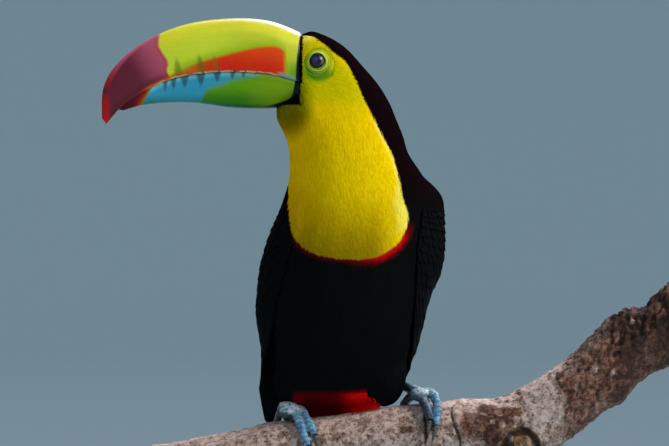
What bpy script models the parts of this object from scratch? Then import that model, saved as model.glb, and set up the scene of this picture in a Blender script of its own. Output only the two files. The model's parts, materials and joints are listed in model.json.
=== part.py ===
"""A life-size keel-billed toucan gripping a cut length of branch, held up by a display stand.

Lengths are written in millimetres, angles in degrees, and the meshes are built in metres.
The bird's chest faces -Y, its head is turned so that the bill points to -X, and the origin is
the centre of the stand's underside. The flesh column is modelled whole, from the undertail
coverts to the crown, and parted into trunk, neck and head by thin cuts.
"""

import math

import bmesh
import bpy
import numpy as np

MM = 0.001
GAP = 0.35

COLUMN_SIDES = 24
BACK_SQUARENESS = 2.2
TRUNK_NECK_HEIGHT = 355.0
NECK_HEAD_HEIGHT = 394.0
NECK_HEAD_TILT = 7.0
CROWN = (-48.0, -8.0, 451.6)

BILL_MIDDLE_Y = -8.0
BILL_YAW = 6.0
BILL_BASE_X = -54.0
BILL_PLATE_GAP = 0.4

EYE_RADIUS = 6.2
EYE_X = -43.9
EYE_HEIGHT = 432.2
EYE_OUT = 15.6

WING_TOP = 353.0
LEFT_WING_TIP = 211.0
RIGHT_WING_TIP = 198.0
WING_LIFT = 1.0
WING_EDGE = 0.9

TOE_RADIUS = 3.1
TOE_LIFT = 0.6
CLAW_RADIUS = 2.2
CLAW_CLEAR = 0.6

PERCH_START = -150.0
PERCH_END = 197.0

BASE_SIZE = (290.0, 180.0, 18.0)
BASE_CORNER = 22.0
BASE_EDGE = 3.0
ROD_RADIUS = 5.0
ROD_SEAT = 11.0
ROD_PLACES = {"stand_rod_left": 112.0, "stand_rod_right": -52.0}

# The flesh column, from below: height, left, right, front, back, squareness of the left side.
COLUMN = [
    (176.0, -43.0, -27.0, 40.0, 50.0, 2.2),
    (186.0, -48.0, -20.0, 33.0, 53.0, 2.2),
    (196.0, -54.0, -11.0, 24.0, 55.0, 2.2),
    (206.0, -60.0, -2.0, 9.0, 57.0, 2.2),
    (216.0, -66.0, 5.0, -12.0, 58.0, 2.2),
    (230.0, -71.0, 11.0, -27.0, 57.0, 2.2),
    (250.0, -74.5, 17.0, -39.0, 54.0, 2.2),
    (280.0, -75.5, 25.0, -48.0, 50.0, 2.2),
    (310.0, -71.5, 31.0, -50.5, 45.0, 2.2),
    (332.0, -63.5, 31.5, -48.0, 40.5, 2.2),
    (350.0, -60.5, 26.0, -44.0, 35.5, 2.2),
    (360.0, -61.8, 20.5, -42.0, 32.5, 2.2),
    (370.0, -61.8, 15.6, -40.5, 30.0, 2.2),
    (386.0, -65.7, 11.0, -37.0, 26.5, 2.2),
    (396.0, -70.9, 6.5, -34.5, 23.5, 2.4),
    (402.0, -70.0, 4.3, -32.5, 21.5, 3.0),
    (408.0, -60.0, 1.2, -30.5, 18.8, 4.0),
    (417.0, -56.5, -4.6, -29.0, 14.5, 5.0),
    (430.0, -56.0, -15.9, -28.0, 11.8, 5.0),
    (439.0, -55.7, -24.0, -25.0, 9.0, 4.0),
    (444.5, -55.3, -31.0, -21.5, 5.5, 3.2),
    (449.0, -53.3, -40.0, -15.5, -1.0, 2.4),
    (451.0, -50.6, -45.4, -10.5, -5.5, 2.0),
]

# The bill's edges in its own plane, base to tip: share of the length, x and z of the upper edge,
# x and z of the lower edge, and half the width.
UPPER_BILL = [
    (0.00, -54.5, 450.0, -54.5, 417.3, 16.6),
    (0.10, -68.0, 456.2, -67.0, 421.5, 16.4),
    (0.25, -87.0, 459.8, -82.0, 423.7, 15.4),
    (0.40, -110.5, 459.5, -103.4, 424.6, 13.8),
    (0.55, -135.0, 454.7, -124.8, 422.7, 11.8),
    (0.68, -153.5, 446.4, -138.5, 419.8, 9.9),
    (0.80, -168.7, 435.9, -152.1, 414.0, 7.8),
    (0.88, -177.6, 425.6, -161.9, 408.4, 6.1),
    (0.95, -184.0, 411.5, -172.3, 401.0, 4.1),
    (1.00, -184.0, 396.5, -180.9, 393.0, 1.2),
]
LOWER_BILL = [
    (0.00, -54.5, 417.3, -55.5, 403.3, 15.2),
    (0.15, -70.0, 421.9, -69.5, 402.3, 14.6),
    (0.35, -88.0, 424.0, -87.0, 401.7, 13.0),
    (0.50, -108.0, 424.6, -106.0, 403.1, 11.4),
    (0.65, -127.0, 422.4, -124.0, 405.1, 9.8),
    (0.80, -146.0, 416.9, -143.0, 405.0, 7.6),
    (0.90, -159.5, 409.9, -157.0, 403.7, 5.4),
    (1.00, -173.6, 400.2, -172.9, 399.2, 1.6),
]

# The outline that the folded wings give the body: height, left side, right side.
WING_OUTLINE = [
    (198.0, -79.6, 3.0),
    (205.0, -81.9, 6.0),
    (214.0, -82.6, 9.5),
    (225.0, -81.9, 14.3),
    (240.0, -80.6, 20.2),
    (246.0, -80.2, 21.6),
    (251.0, -82.0, 23.4),
    (261.0, -83.9, 26.0),
    (272.0, -84.5, 28.0),
    (280.0, -84.0, 29.8),
    (284.0, -83.8, 33.4),
    (290.0, -83.1, 36.0),
    (298.0, -81.9, 38.4),
    (308.0, -79.3, 39.6),
    (323.0, -74.1, 39.6),
    (334.0, -68.9, 39.0),
    (344.0, -65.0, 35.8),
    (353.0, -63.0, 29.0),
]
# How far each wing hangs clear of the flank below the belly: height, right wing, left wing.
WING_SPREAD = [
    (198.0, 25.0, 6.0),
    (207.0, 18.0, 3.5),
    (216.0, 12.3, 1.0),
    (230.0, 7.0, 0.0),
    (245.0, 2.0, 0.0),
    (256.0, 0.0, 0.0),
    (353.0, 0.0, 0.0),
]
# The wing's edges, shoulder to tip: share of the length, front edge and back edge round the body.
WING_EDGES = [
    (0.00, -8.0, 30.0),
    (0.06, -28.0, 57.0),
    (0.20, -42.0, 77.0),
    (0.42, -38.0, 83.0),
    (0.63, -24.0, 81.0),
    (0.77, -8.0, 72.0),
    (0.90, 8.0, 58.0),
    (0.97, 17.0, 45.0),
    (1.00, 22.0, 34.0),
]

# The tail, base to tip: share of the length, x, y, z, half width, half thickness.
TAIL = [
    (0.00, -36.0, 46.0, 214.0, 17.0, 7.5),
    (0.15, -40.0, 54.0, 190.0, 18.5, 6.5),
    (0.40, -46.0, 62.5, 148.0, 21.5, 4.0),
    (0.70, -52.0, 70.5, 100.0, 25.5, 2.4),
    (0.92, -55.5, 76.0, 66.0, 27.5, 1.5),
    (0.98, -56.3, 77.6, 57.5, 23.0, 1.2),
    (1.00, -56.5, 78.0, 54.5, 15.0, 1.0),
]

# The branch: distance along x, y and z of its middle, and radius.
PERCH = [
    (-150.0, 2.0, 163.0, 19.0),
    (-83.0, 0.0, 175.8, 20.0),
    (-28.0, 0.0, 181.6, 20.0),
    (7.0, 0.0, 187.0, 20.3),
    (51.0, 0.0, 190.7, 21.0),
    (82.0, -1.0, 195.4, 22.3),
    (112.0, -2.0, 210.0, 21.2),
    (140.0, -3.0, 231.7, 20.8),
    (172.0, -4.0, 252.5, 18.7),
    (198.0, -5.0, 268.7, 18.2),
]
# Knots and swellings of the branch: x, turn from the top towards the front, height, breadth.
KNOTS = [
    (60.0, 10.0, 2.2, 15.0),
    (92.0, 150.0, 2.6, 13.0),
    (154.0, 5.0, 4.2, 8.0),
    (177.0, 0.0, 3.4, 7.0),
    (152.0, 172.0, 5.0, 12.0),
    (-112.0, 20.0, 1.8, 12.0),
]

THIGHS = {
    "thigh_left": ((-0.5, 4.0, 226.0), (14.5, 20.0, 19.5)),
    "thigh_right": ((-60.0, 4.0, 224.0), (13.0, 20.0, 19.0)),
}

# Each leg from the heel to the ball of the foot, and its toes: number, then x along the branch,
# turn round it and lift off it at each bend, and the x and turn of the claw's tip.
LEGS = {
    "left": (
        ((-6.0, 34.0, 228.0), (8.0, 16.0, 221.5), (23.0, -3.0, 215.5)),
        (
            (1, ((17.0, -22.0, 2.0), (14.0, -52.0, TOE_LIFT), (12.5, -82.0, TOE_LIFT)), (11.5, -112.0)),
            (2, ((25.5, 24.0, 2.4), (28.0, 46.0, 0.8), (29.2, 66.0, TOE_LIFT)), (27.6, 94.0)),
            (3, ((31.0, 14.0, 4.2), (35.3, 38.0, 1.6), (34.0, 74.0, TOE_LIFT)), (29.6, 106.0)),
            (4, ((27.0, -22.0, 2.4), (30.0, -52.0, TOE_LIFT), (31.5, -86.0, TOE_LIFT)), (32.5, -116.0)),
        ),
    ),
    "right": (
        ((-54.0, 33.0, 226.0), (-58.0, 14.0, 216.0), (-62.5, -3.0, 207.5)),
        (
            (1, ((-62.0, -24.0, 3.0), (-60.5, -54.0, TOE_LIFT), (-60.0, -84.0, TOE_LIFT)), (-60.0, -114.0)),
            (2, ((-57.5, 16.0, 4.6), (-53.6, 46.0, 1.0), (-50.3, 82.0, TOE_LIFT)), (-49.3, 112.0)),
            (3, ((-54.5, 6.0, 4.6), (-48.6, 42.0, 1.6), (-44.8, 67.0, TOE_LIFT)), (-43.4, 96.0)),
            (4, ((-70.0, -10.0, 5.4), (-73.3, -40.0, 1.6), (-74.5, -76.0, TOE_LIFT)), (-75.0, -106.0)),
        ),
    ),
}

COLOURS = {
    "black_feather": ((0.012, 0.010, 0.011), 0.55, 0.0),
    "yellow_feather": ((0.62, 0.47, 0.015), 0.6, 0.0),
    "bill_horn": ((0.36, 0.50, 0.04), 0.3, 0.0),
    "bill_lower_horn": ((0.12, 0.36, 0.20), 0.3, 0.0),
    "eye_gloss": ((0.02, 0.018, 0.035), 0.08, 0.0),
    "foot_scales": ((0.12, 0.24, 0.32), 0.5, 0.0),
    "claw_horn": ((0.05, 0.05, 0.055), 0.35, 0.0),
    "bark": ((0.17, 0.12, 0.09), 0.85, 0.0),
    "stand_wood": ((0.09, 0.045, 0.022), 0.4, 0.0),
    "stand_steel": ((0.45, 0.44, 0.42), 0.35, 1.0),
}


def smooth_row(stations, at):
    """The values of a table at one place, on a smooth curve through its rows."""
    rows = np.array(stations, float)
    places = rows[:, 0]
    values = rows[:, 1:]
    slopes = np.gradient(values, places, axis=0)
    i = int(np.clip(np.searchsorted(places, at) - 1, 0, len(places) - 2))
    step = places[i + 1] - places[i]
    t = (at - places[i]) / step
    start = (1 + 2 * t) * (1 - t) ** 2
    lean = t * (1 - t) ** 2
    end_lean = t**2 * (t - 1)
    return (
        start * values[i]
        + (1 - start) * values[i + 1]
        + step * (lean * slopes[i] + end_lean * slopes[i + 1])
    )


def rounded(value, squareness):
    """A cosine or sine bent towards a squarer outline."""
    return math.copysign(abs(value) ** (2 / squareness), value)


def material(name):
    colour, roughness, metallic = COLOURS[name]
    made = bpy.data.materials.get(name) or bpy.data.materials.new(name)
    made.use_nodes = True
    shader = made.node_tree.nodes["Principled BSDF"]
    shader.inputs["Base Color"].default_value = (*colour, 1.0)
    shader.inputs["Roughness"].default_value = roughness
    shader.inputs["Metallic"].default_value = metallic
    return made


def new_object(name, mesh, collection, finish=None):
    made = bpy.data.objects.new(name, mesh)
    collection.objects.link(made)
    if finish:
        mesh.materials.append(material(finish))
        mesh.shade_smooth()
    else:
        made.hide_render = True
        made.display_type = "WIRE"
    return made


def loft(name, rings):
    """A closed mesh through rings of points, with a flat face on each end."""
    shape = bmesh.new()
    loops = [[shape.verts.new([MM * value for value in point]) for point in ring] for ring in rings]
    for one, other in zip(loops, loops[1:]):
        for i in range(len(one)):
            after = (i + 1) % len(one)
            shape.faces.new((one[i], one[after], other[after], other[i]))
    shape.faces.new(loops[0][::-1])
    shape.faces.new(loops[-1])
    bmesh.ops.recalc_face_normals(shape, faces=shape.faces)
    bmesh.ops.triangulate(shape, faces=shape.faces, quad_method="FIXED")
    mesh = bpy.data.meshes.new(name)
    shape.to_mesh(mesh)
    shape.free()
    return mesh


def cut(piece, cutter, operation="DIFFERENCE"):
    modifier = piece.modifiers.new(cutter.name, "BOOLEAN")
    modifier.operation = operation
    modifier.solver = "EXACT"
    modifier.object = cutter


def column_point(row, angle, grow):
    """A point of the flesh column's ring: angle 0 is +X and 90 is the back."""
    left, right, front, back, squareness = row
    across = math.cos(math.radians(angle))
    along = math.sin(math.radians(angle))
    power = squareness if across < 0 else BACK_SQUARENESS
    x = (left + right) / 2 + ((right - left) / 2 + grow) * rounded(across, power)
    y = (front + back) / 2 + ((back - front) / 2 + grow) * rounded(along, power)
    return x, y


def column_heights():
    body = list(np.linspace(176.0, 392.0, 25))
    face = list(np.linspace(397.0, 442.0, 11))
    crown = [445.5, 448.5, 450.5]
    return body + face + crown


def column_mesh(name, grow=0.0):
    """The whole body from the undertail coverts to the crown."""
    rings = []
    for height in column_heights():
        row = smooth_row(COLUMN, height)
        angles = np.arange(COLUMN_SIDES) * 360 / COLUMN_SIDES
        rings.append([(*column_point(row, angle, grow), height) for angle in angles])
    lowest = [(x, y, z - grow) for x, y, z in rings[0]]
    highest = [
        (CROWN[0] + 0.4 * (x - CROWN[0]), CROWN[1] + 0.4 * (y - CROWN[1]), CROWN[2] + grow)
        for x, y, z in rings[-1]
    ]
    rings[0] = lowest
    return loft(name, rings + [highest])


def keep_side(mesh, height, tilt, above):
    """Cuts a mesh at a plane tipped towards +X and keeps one side, half a gap short of it."""
    lean = math.radians(tilt)
    normal = (math.sin(lean), 0.0, math.cos(lean))
    middle = -30.0
    shift = GAP / 2 if above else -GAP / 2
    shape = bmesh.new()
    shape.from_mesh(mesh)
    parted = bmesh.ops.bisect_plane(
        shape,
        geom=list(shape.verts) + list(shape.edges) + list(shape.faces),
        dist=1e-7,
        plane_co=(MM * middle, 0.0, MM * (height + shift)),
        plane_no=normal,
        clear_inner=above,
        clear_outer=not above,
    )
    rim = [piece for piece in parted["geom_cut"] if isinstance(piece, bmesh.types.BMEdge)]
    bmesh.ops.contextual_create(shape, geom=rim)
    bmesh.ops.recalc_face_normals(shape, faces=shape.faces)
    shape.to_mesh(mesh)
    shape.free()


def body_column(parts):
    """Trunk, neck and head, cut from one column."""
    trunk = column_mesh("trunk")
    keep_side(trunk, TRUNK_NECK_HEIGHT, 0.0, above=False)
    neck = column_mesh("neck")
    keep_side(neck, TRUNK_NECK_HEIGHT, 0.0, above=True)
    keep_side(neck, NECK_HEAD_HEIGHT, NECK_HEAD_TILT, above=False)
    head = column_mesh("head")
    keep_side(head, NECK_HEAD_HEIGHT, NECK_HEAD_TILT, above=True)
    new_object("trunk", trunk, parts, "black_feather")
    new_object("neck", neck, parts, "yellow_feather")
    return new_object("head", head, parts, "yellow_feather")


def bill_y(x):
    """The bill's middle plane swings a little towards the front."""
    return BILL_MIDDLE_Y + math.tan(math.radians(BILL_YAW)) * (x - BILL_BASE_X)


def bill_section(row, keel_up, steps, grow):
    """A half-oval section standing on a flat side: the keel is above or below that side."""
    upper_x, upper_z, lower_x, lower_z, half_width = row
    keel = np.array((upper_x, upper_z) if keel_up else (lower_x, lower_z))
    foot = np.array((lower_x, lower_z) if keel_up else (upper_x, upper_z))
    depth = np.linalg.norm(keel - foot)
    away = (keel - foot) / depth
    foot = foot + away * (BILL_PLATE_GAP / 2 - grow)
    depth = depth - BILL_PLATE_GAP / 2 + 2 * grow
    ring = []
    for i in range(steps + 1):
        angle = math.pi * i / steps
        side = (half_width + grow) * rounded(math.cos(angle), 2.3)
        x, z = foot + away * depth * rounded(math.sin(angle), 2.15)
        ring.append((x, bill_y(x) + side, z))
    return ring


def bill_mesh(name, stations, keel_up, steps, count, grow=0.0):
    rings = []
    for i in range(count + 1):
        share = math.sin(math.pi / 2 * i / count)
        rings.append(bill_section(smooth_row(stations, share), keel_up, steps, grow))
    if grow:
        back = [(x + grow, y, z) for x, y, z in rings[0]]
        rings.insert(0, back)
    return loft(name, rings)


def bill(parts, cutters, head):
    shapes = {
        "bill_upper": (UPPER_BILL, True, 14, 17),
        "bill_lower": (LOWER_BILL, False, 10, 12),
    }
    for name, (stations, keel_up, steps, count) in shapes.items():
        mesh = bill_mesh(name, stations, keel_up, steps, count)
        finish = "bill_horn" if keel_up else "bill_lower_horn"
        new_object(name, mesh, parts, finish)
        seat = bill_mesh(f"{name}_seat", stations, keel_up, steps, count, GAP)
        cut(head, new_object(f"{name}_seat", seat, cutters))


def ball(name, centre, radii, segments, rings):
    shape = bmesh.new()
    bmesh.ops.create_uvsphere(shape, u_segments=segments, v_segments=rings, radius=1.0)
    bmesh.ops.scale(shape, vec=[MM * radius for radius in radii], verts=shape.verts)
    bmesh.ops.translate(shape, vec=[MM * value for value in centre], verts=shape.verts)
    mesh = bpy.data.meshes.new(name)
    shape.to_mesh(mesh)
    shape.free()
    return mesh


def eyes(parts, cutters, head):
    """The eyeballs, in round sockets on both sides of the head."""
    for name, side in (("eye_left", -1), ("eye_right", 1)):
        centre = (EYE_X, BILL_MIDDLE_Y + side * EYE_OUT, EYE_HEIGHT)
        mesh = ball(name, centre, [EYE_RADIUS] * 3, 14, 8)
        new_object(name, mesh, parts, "eye_gloss")
        socket = ball(f"{name}_socket", centre, [EYE_RADIUS + GAP] * 3, 14, 8)
        cut(head, new_object(f"{name}_socket", socket, cutters))


def wing_mesh(name, side, tip):
    """A folded wing: side 1 is the bird's left (+X), side -1 its right."""
    long_steps = 16
    wide_steps = 8
    outer = []
    inner = []
    for i in range(long_steps + 1):
        share = (i / long_steps + 0.5 - 0.5 * math.cos(math.pi * i / long_steps)) / 2
        height = WING_TOP + (tip - WING_TOP) * share
        front, back = smooth_row(WING_EDGES, share)
        bed = smooth_row(COLUMN, height)
        left_line, right_line = smooth_row(WING_OUTLINE, height)
        right_spread, left_spread = np.maximum(smooth_row(WING_SPREAD, height), 0.0)
        bed[0] -= right_spread
        bed[1] += left_spread
        fullness = right_line - bed[1] if side > 0 else bed[0] - left_line
        fullness = max(fullness - WING_LIFT, WING_EDGE)
        taper = min(1.0, math.sqrt(share / 0.08), math.sqrt((1.0 - share) / 0.06))
        outer_row = []
        inner_row = []
        for j in range(wide_steps + 1):
            turn = front + (back - front) * j / wide_steps
            from_middle = max(turn / back, turn / min(front, -6.0), 0.0)
            thickness = WING_EDGE + (fullness - WING_EDGE) * (1 - from_middle**2.4) * taper
            angle = turn if side > 0 else 180.0 - turn
            inner_row.append((*column_point(bed, angle, WING_LIFT), height))
            outer_row.append((*column_point(bed, angle, WING_LIFT + thickness), height))
        outer.append(outer_row)
        inner.append(inner_row)
    rings = [one + other[::-1] for one, other in zip(outer, inner)]
    return loft(name, rings)


def wings(parts):
    for name, side, tip in (("wing_left", 1, LEFT_WING_TIP), ("wing_right", -1, RIGHT_WING_TIP)):
        new_object(name, wing_mesh(name, side, tip), parts, "black_feather")


def tail(parts, flesh):
    """A long flat tail hanging from under the rump, widest near its rounded end."""
    rings = []
    for share in np.sin(np.linspace(0.0, math.pi / 2, 13)):
        x, y, z, half_width, half_thickness = smooth_row(TAIL, share)
        ring = []
        for i in range(14):
            angle = 2 * math.pi * i / 14
            across = half_width * rounded(math.cos(angle), 2.6)
            through = half_thickness * rounded(math.sin(angle), 2.6)
            ring.append((x + across, y + through - 0.004 * across**2, z - 0.12 * across))
        rings.append(ring)
    made = new_object("tail", loft("tail", rings), parts, "black_feather")
    cut(made, flesh)


def thighs(parts, cutters, flesh):
    """The feathered thighs, set against the belly. Returns their grown cutters."""
    grown = {}
    for name, (centre, radii) in THIGHS.items():
        made = new_object(name, ball(name, centre, radii, 14, 9), parts, "black_feather")
        cut(made, flesh)
        bigger = [radius + GAP for radius in radii]
        mesh = ball(f"{name}_clearance", centre, bigger, 14, 9)
        grown[name] = new_object(f"{name}_clearance", mesh, cutters)
    return grown


def perch_middle(x):
    y, z, radius = smooth_row(PERCH, x)
    return np.array((x, y, z)), radius


def perch_point(x, turn, lift=0.0):
    """A point on or off the branch's bark: turn 0 is the top and 90 the front."""
    middle, radius = perch_middle(x)
    ahead = perch_middle(x + 1.0)[0] - perch_middle(x - 1.0)[0]
    ahead /= np.linalg.norm(ahead)
    upward = np.cross((0.0, -1.0, 0.0), ahead)
    upward /= np.linalg.norm(upward)
    forward = np.cross(ahead, upward)
    for knot_x, knot_turn, height, breadth in KNOTS:
        round_way = math.radians((turn - knot_turn + 180) % 360 - 180) * radius
        distance = math.hypot(x - knot_x, round_way)
        radius += height * math.exp(-((distance / breadth) ** 2))
    radius += 0.5 * math.sin(x / 13) * math.sin(math.radians(3 * turn))
    angle = math.radians(turn)
    return middle + (radius + lift) * (math.cos(angle) * upward + math.sin(angle) * forward)


def perch(parts):
    """The cut length of branch, with sawn ends."""
    sides = 16
    rings = []
    for x in np.linspace(PERCH_START, PERCH_END, 27):
        rings.append([perch_point(x, 360 * i / sides) for i in range(sides)])
    return new_object("perch", loft("perch", rings), parts, "bark")


def tube_mesh(name, points, radii, sides):
    """A round tube through a list of points, whose rings turn as little as they can."""
    points = [np.array(point, float) for point in points]
    rings = []
    normal = np.array((0.0, 1.0, 0.0))
    for i, point in enumerate(points):
        before = points[max(i - 1, 0)]
        after = points[min(i + 1, len(points) - 1)]
        ahead = (after - before) / np.linalg.norm(after - before)
        normal = normal - ahead * normal.dot(ahead)
        normal /= np.linalg.norm(normal)
        binormal = np.cross(ahead, normal)
        ring = []
        for j in range(sides):
            angle = 2 * math.pi * j / sides
            ring.append(point + radii[i] * (math.cos(angle) * normal + math.sin(angle) * binormal))
        rings.append(ring)
    return loft(name, rings)


def smooth_path(points, count):
    stations = [(i, *point) for i, point in enumerate(points)]
    return [smooth_row(stations, at) for at in np.linspace(0, len(points) - 1, count)]


def toe(name, ball_of_foot, bends, cutters):
    """A toe from the ball of the foot over the bark, with a rounded end."""
    places = [perch_point(x, turn, TOE_RADIUS + lift) for x, turn, lift in bends]
    path = smooth_path([ball_of_foot, *places], 7)
    radii = [TOE_RADIUS * size for size in (1.0, 1.02, 0.98, 1.02, 0.96, 0.94, 0.72)]
    return new_object(name, tube_mesh(name, path, radii, 8), cutters)


def claw(name, bends, tip, parts):
    """A curved claw that goes on from the end of a toe and leans on the bark."""
    end_x, end_turn, _ = bends[-1]
    tip_x, tip_turn = tip
    radius = perch_middle(end_x)[1] + TOE_RADIUS
    away = math.copysign(math.degrees((GAP + CLAW_CLEAR) / radius), tip_turn)
    points = []
    radii = []
    for share in np.linspace(0.0, 1.0, 5):
        x = end_x + (tip_x - end_x) * share
        turn = end_turn + away + (tip_turn - end_turn - away) * share
        lift = TOE_LIFT + TOE_RADIUS - (TOE_RADIUS - 0.6) * share**2
        points.append(perch_point(x, turn, lift))
        radii.append(CLAW_RADIUS * (1 - 0.86 * share**1.3))
    new_object(name, tube_mesh(name, points, radii, 6), parts, "claw_horn")


def feet(parts, cutters, flesh, thigh_cutters):
    """Bare legs with four toes each, two to the front and two to the back, and their claws."""
    for side, (leg_route, toes) in LEGS.items():
        path = smooth_path(leg_route, 8)
        heel_way = np.array(leg_route[-1]) - np.array(leg_route[-2])
        path.append(path[-1] + 2.6 * heel_way / np.linalg.norm(heel_way))
        radii = [3.2, 3.0, 2.7, 2.6, 2.7, 3.1, 3.7, 4.0, 2.4]
        mesh = tube_mesh(f"foot_{side}", path, radii, 10)
        foot = new_object(f"foot_{side}", mesh, parts, "foot_scales")
        for number, bends, claw_tip in toes:
            made = toe(f"toe_{side}_{number}", leg_route[-1], bends, cutters)
            cut(foot, made, "UNION")
            claw(f"claw_{side}_{number}", bends, claw_tip, parts)
        cut(foot, flesh)
        cut(foot, thigh_cutters[f"thigh_{side}"])


def cylinder(name, x, bottom, top, radius, sides=16):
    shape = bmesh.new()
    bmesh.ops.create_cone(
        shape,
        cap_ends=True,
        segments=sides,
        radius1=MM * radius,
        radius2=MM * radius,
        depth=MM * (top - bottom),
    )
    bmesh.ops.translate(shape, vec=(MM * x, 0.0, MM * (bottom + top) / 2), verts=shape.verts)
    mesh = bpy.data.meshes.new(name)
    shape.to_mesh(mesh)
    shape.free()
    return mesh


def stand(parts, cutters, branch):
    """A flat block with round corners, and two rods in drilled seats in it and in the branch."""
    shape = bmesh.new()
    bmesh.ops.create_cube(shape, size=1.0)
    bmesh.ops.scale(shape, vec=[MM * side for side in BASE_SIZE], verts=shape.verts)
    bmesh.ops.translate(shape, vec=(0.0, 0.0, MM * BASE_SIZE[2] / 2), verts=shape.verts)
    upright = [edge for edge in shape.edges if abs(edge.verts[0].co.z - edge.verts[1].co.z) > MM]
    bmesh.ops.bevel(
        shape, geom=upright, offset=MM * BASE_CORNER, segments=6, profile=0.5, affect="EDGES"
    )
    mesh = bpy.data.meshes.new("stand_base")
    shape.to_mesh(mesh)
    shape.free()
    base = new_object("stand_base", mesh, parts, "stand_wood")
    eased = base.modifiers.new("eased_edges", "BEVEL")
    eased.width = MM * BASE_EDGE
    eased.segments = 3
    eased.limit_method = "ANGLE"
    eased.angle_limit = math.radians(50)
    for name, x in ROD_PLACES.items():
        bottom = BASE_SIZE[2] - ROD_SEAT
        top = perch_point(x, 180.0)[2] + ROD_SEAT
        rod = cylinder(name, x, bottom, top, ROD_RADIUS)
        new_object(name, rod, parts, "stand_steel")
        bore = cylinder(f"{name}_bore", x, bottom - GAP, top + GAP, ROD_RADIUS + GAP)
        seat = new_object(f"{name}_bore", bore, cutters)
        cut(base, seat)
        cut(branch, seat)


def main():
    for old in list(bpy.data.objects):
        bpy.data.objects.remove(old)
    parts = bpy.data.collections.new("keel_billed_toucan")
    cutters = bpy.data.collections.new("cutters")
    for collection in (parts, cutters):
        bpy.context.scene.collection.children.link(collection)
    flesh = new_object("flesh_clearance", column_mesh("flesh_clearance", GAP), cutters)
    head = body_column(parts)
    bill(parts, cutters, head)
    eyes(parts, cutters, head)
    wings(parts)
    tail(parts, flesh)
    thigh_cutters = thighs(parts, cutters, flesh)
    feet(parts, cutters, flesh, thigh_cutters)
    branch = perch(parts)
    stand(parts, cutters, branch)


main()
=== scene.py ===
"""The looks of a life-size keel-billed toucan on its branch and display stand.

Lengths are in millimetres and angles in degrees unless a name says otherwise; meshes are built in
metres. +X is the bird's left, -Y its front, and the bill points to -X. One skin lies under the
coat. Feathers are thin closed vanes, laid over the skin by region. The bill, the eyes, the claws,
the branch and the stand keep pieces of their own.
"""

import json
import math

import bpy
import numpy as np
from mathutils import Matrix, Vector, noise
from mathutils.bvhtree import BVHTree
from mathutils.kdtree import KDTree

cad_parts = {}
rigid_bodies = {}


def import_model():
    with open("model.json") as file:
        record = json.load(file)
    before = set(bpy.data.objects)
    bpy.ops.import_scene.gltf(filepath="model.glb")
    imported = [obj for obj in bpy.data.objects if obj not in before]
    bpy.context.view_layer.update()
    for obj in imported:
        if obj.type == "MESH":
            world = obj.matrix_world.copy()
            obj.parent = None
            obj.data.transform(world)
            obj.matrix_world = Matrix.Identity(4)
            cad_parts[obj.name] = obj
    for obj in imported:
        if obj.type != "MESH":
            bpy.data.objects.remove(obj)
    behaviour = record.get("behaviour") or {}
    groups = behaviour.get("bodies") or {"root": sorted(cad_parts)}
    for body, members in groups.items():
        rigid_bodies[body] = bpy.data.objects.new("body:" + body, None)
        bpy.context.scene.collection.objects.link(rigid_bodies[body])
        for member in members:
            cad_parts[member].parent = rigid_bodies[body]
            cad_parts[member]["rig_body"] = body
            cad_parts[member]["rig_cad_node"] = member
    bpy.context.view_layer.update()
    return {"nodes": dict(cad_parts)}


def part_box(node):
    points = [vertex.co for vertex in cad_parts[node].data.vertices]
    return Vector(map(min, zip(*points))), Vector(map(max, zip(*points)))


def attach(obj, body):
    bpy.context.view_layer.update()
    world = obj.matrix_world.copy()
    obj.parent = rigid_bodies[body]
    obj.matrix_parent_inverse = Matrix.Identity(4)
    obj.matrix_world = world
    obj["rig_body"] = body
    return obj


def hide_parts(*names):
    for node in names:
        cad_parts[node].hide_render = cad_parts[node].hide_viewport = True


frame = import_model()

MM = 0.001
RANDOM = np.random.default_rng(11)

SKIN_VOXEL = 1.6
FOOT_VOXEL = 0.55
BARK_VOXEL = 0.95
SEAM_CLOSE = 0.4
WING_SKIN_BOTTOM = 262.0
HEAD_HEIGHT = 405.0
NECK_HEIGHT = 356.0
SHOULDER_HEIGHT = 334.0
CRISSUM_HEIGHT = 215.5
BRANCH_RADIUS = 21.0
SCUTE_PITCH = 3.1
KNUCKLE_PITCH = 12.0

# The edge of the yellow face and bib seen from the front: x and z, from the bill over the cheek,
# down the neck, round the breast and up the other side.
BIB_EDGE = [
    (-53.3, 448.4), (-43.7, 445.6), (-33.2, 437.4), (-23.8, 428.6), (-12.4, 404.6), (-1.3, 382.5),
    (6.4, 366.0), (11.2, 344.8), (15.3, 329.2), (12.8, 320.3), (8.2, 313.3), (-1.3, 306.4),
    (-11.0, 303.2), (-23.1, 302.8), (-37.0, 304.2), (-49.0, 307.8), (-57.0, 314.0), (-61.1, 322.0),
    (-63.4, 337.0), (-67.0, 348.0), (-110.0, 352.0), (-110.0, 449.0),
]
# The same edge seen from behind: height and the x up to which the coat is yellow.
BACK_EDGE = [
    (345.0, -90.0), (352.0, -62.0), (364.0, -52.0), (378.0, -38.0), (392.0, -25.0), (404.0, -15.5),
    (415.0, -17.5), (428.6, -23.8), (437.4, -33.2), (442.9, -39.7), (446.0, -47.0), (448.4, -53.3),
    (452.0, -70.0),
]
FRONT_BACK_Y = -6.0

# The coat by height: spacing, length, width and depth of its feathers.
COAT_BY_HEIGHT = [
    (200.0, 2.7, 14.0, 5.0, 1.9),
    (230.0, 2.7, 15.5, 5.2, 2.1),
    (290.0, 2.3, 13.5, 4.0, 1.9),
    (315.0, 1.75, 10.5, 2.6, 1.6),
    (356.0, 1.5, 9.0, 2.0, 1.3),
    (385.0, 1.35, 7.5, 1.7, 1.1),
    (405.0, 1.2, 6.0, 1.5, 0.9),
    (430.0, 1.05, 4.2, 1.35, 0.7),
    (452.0, 1.05, 3.8, 1.3, 0.6),
]

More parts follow.
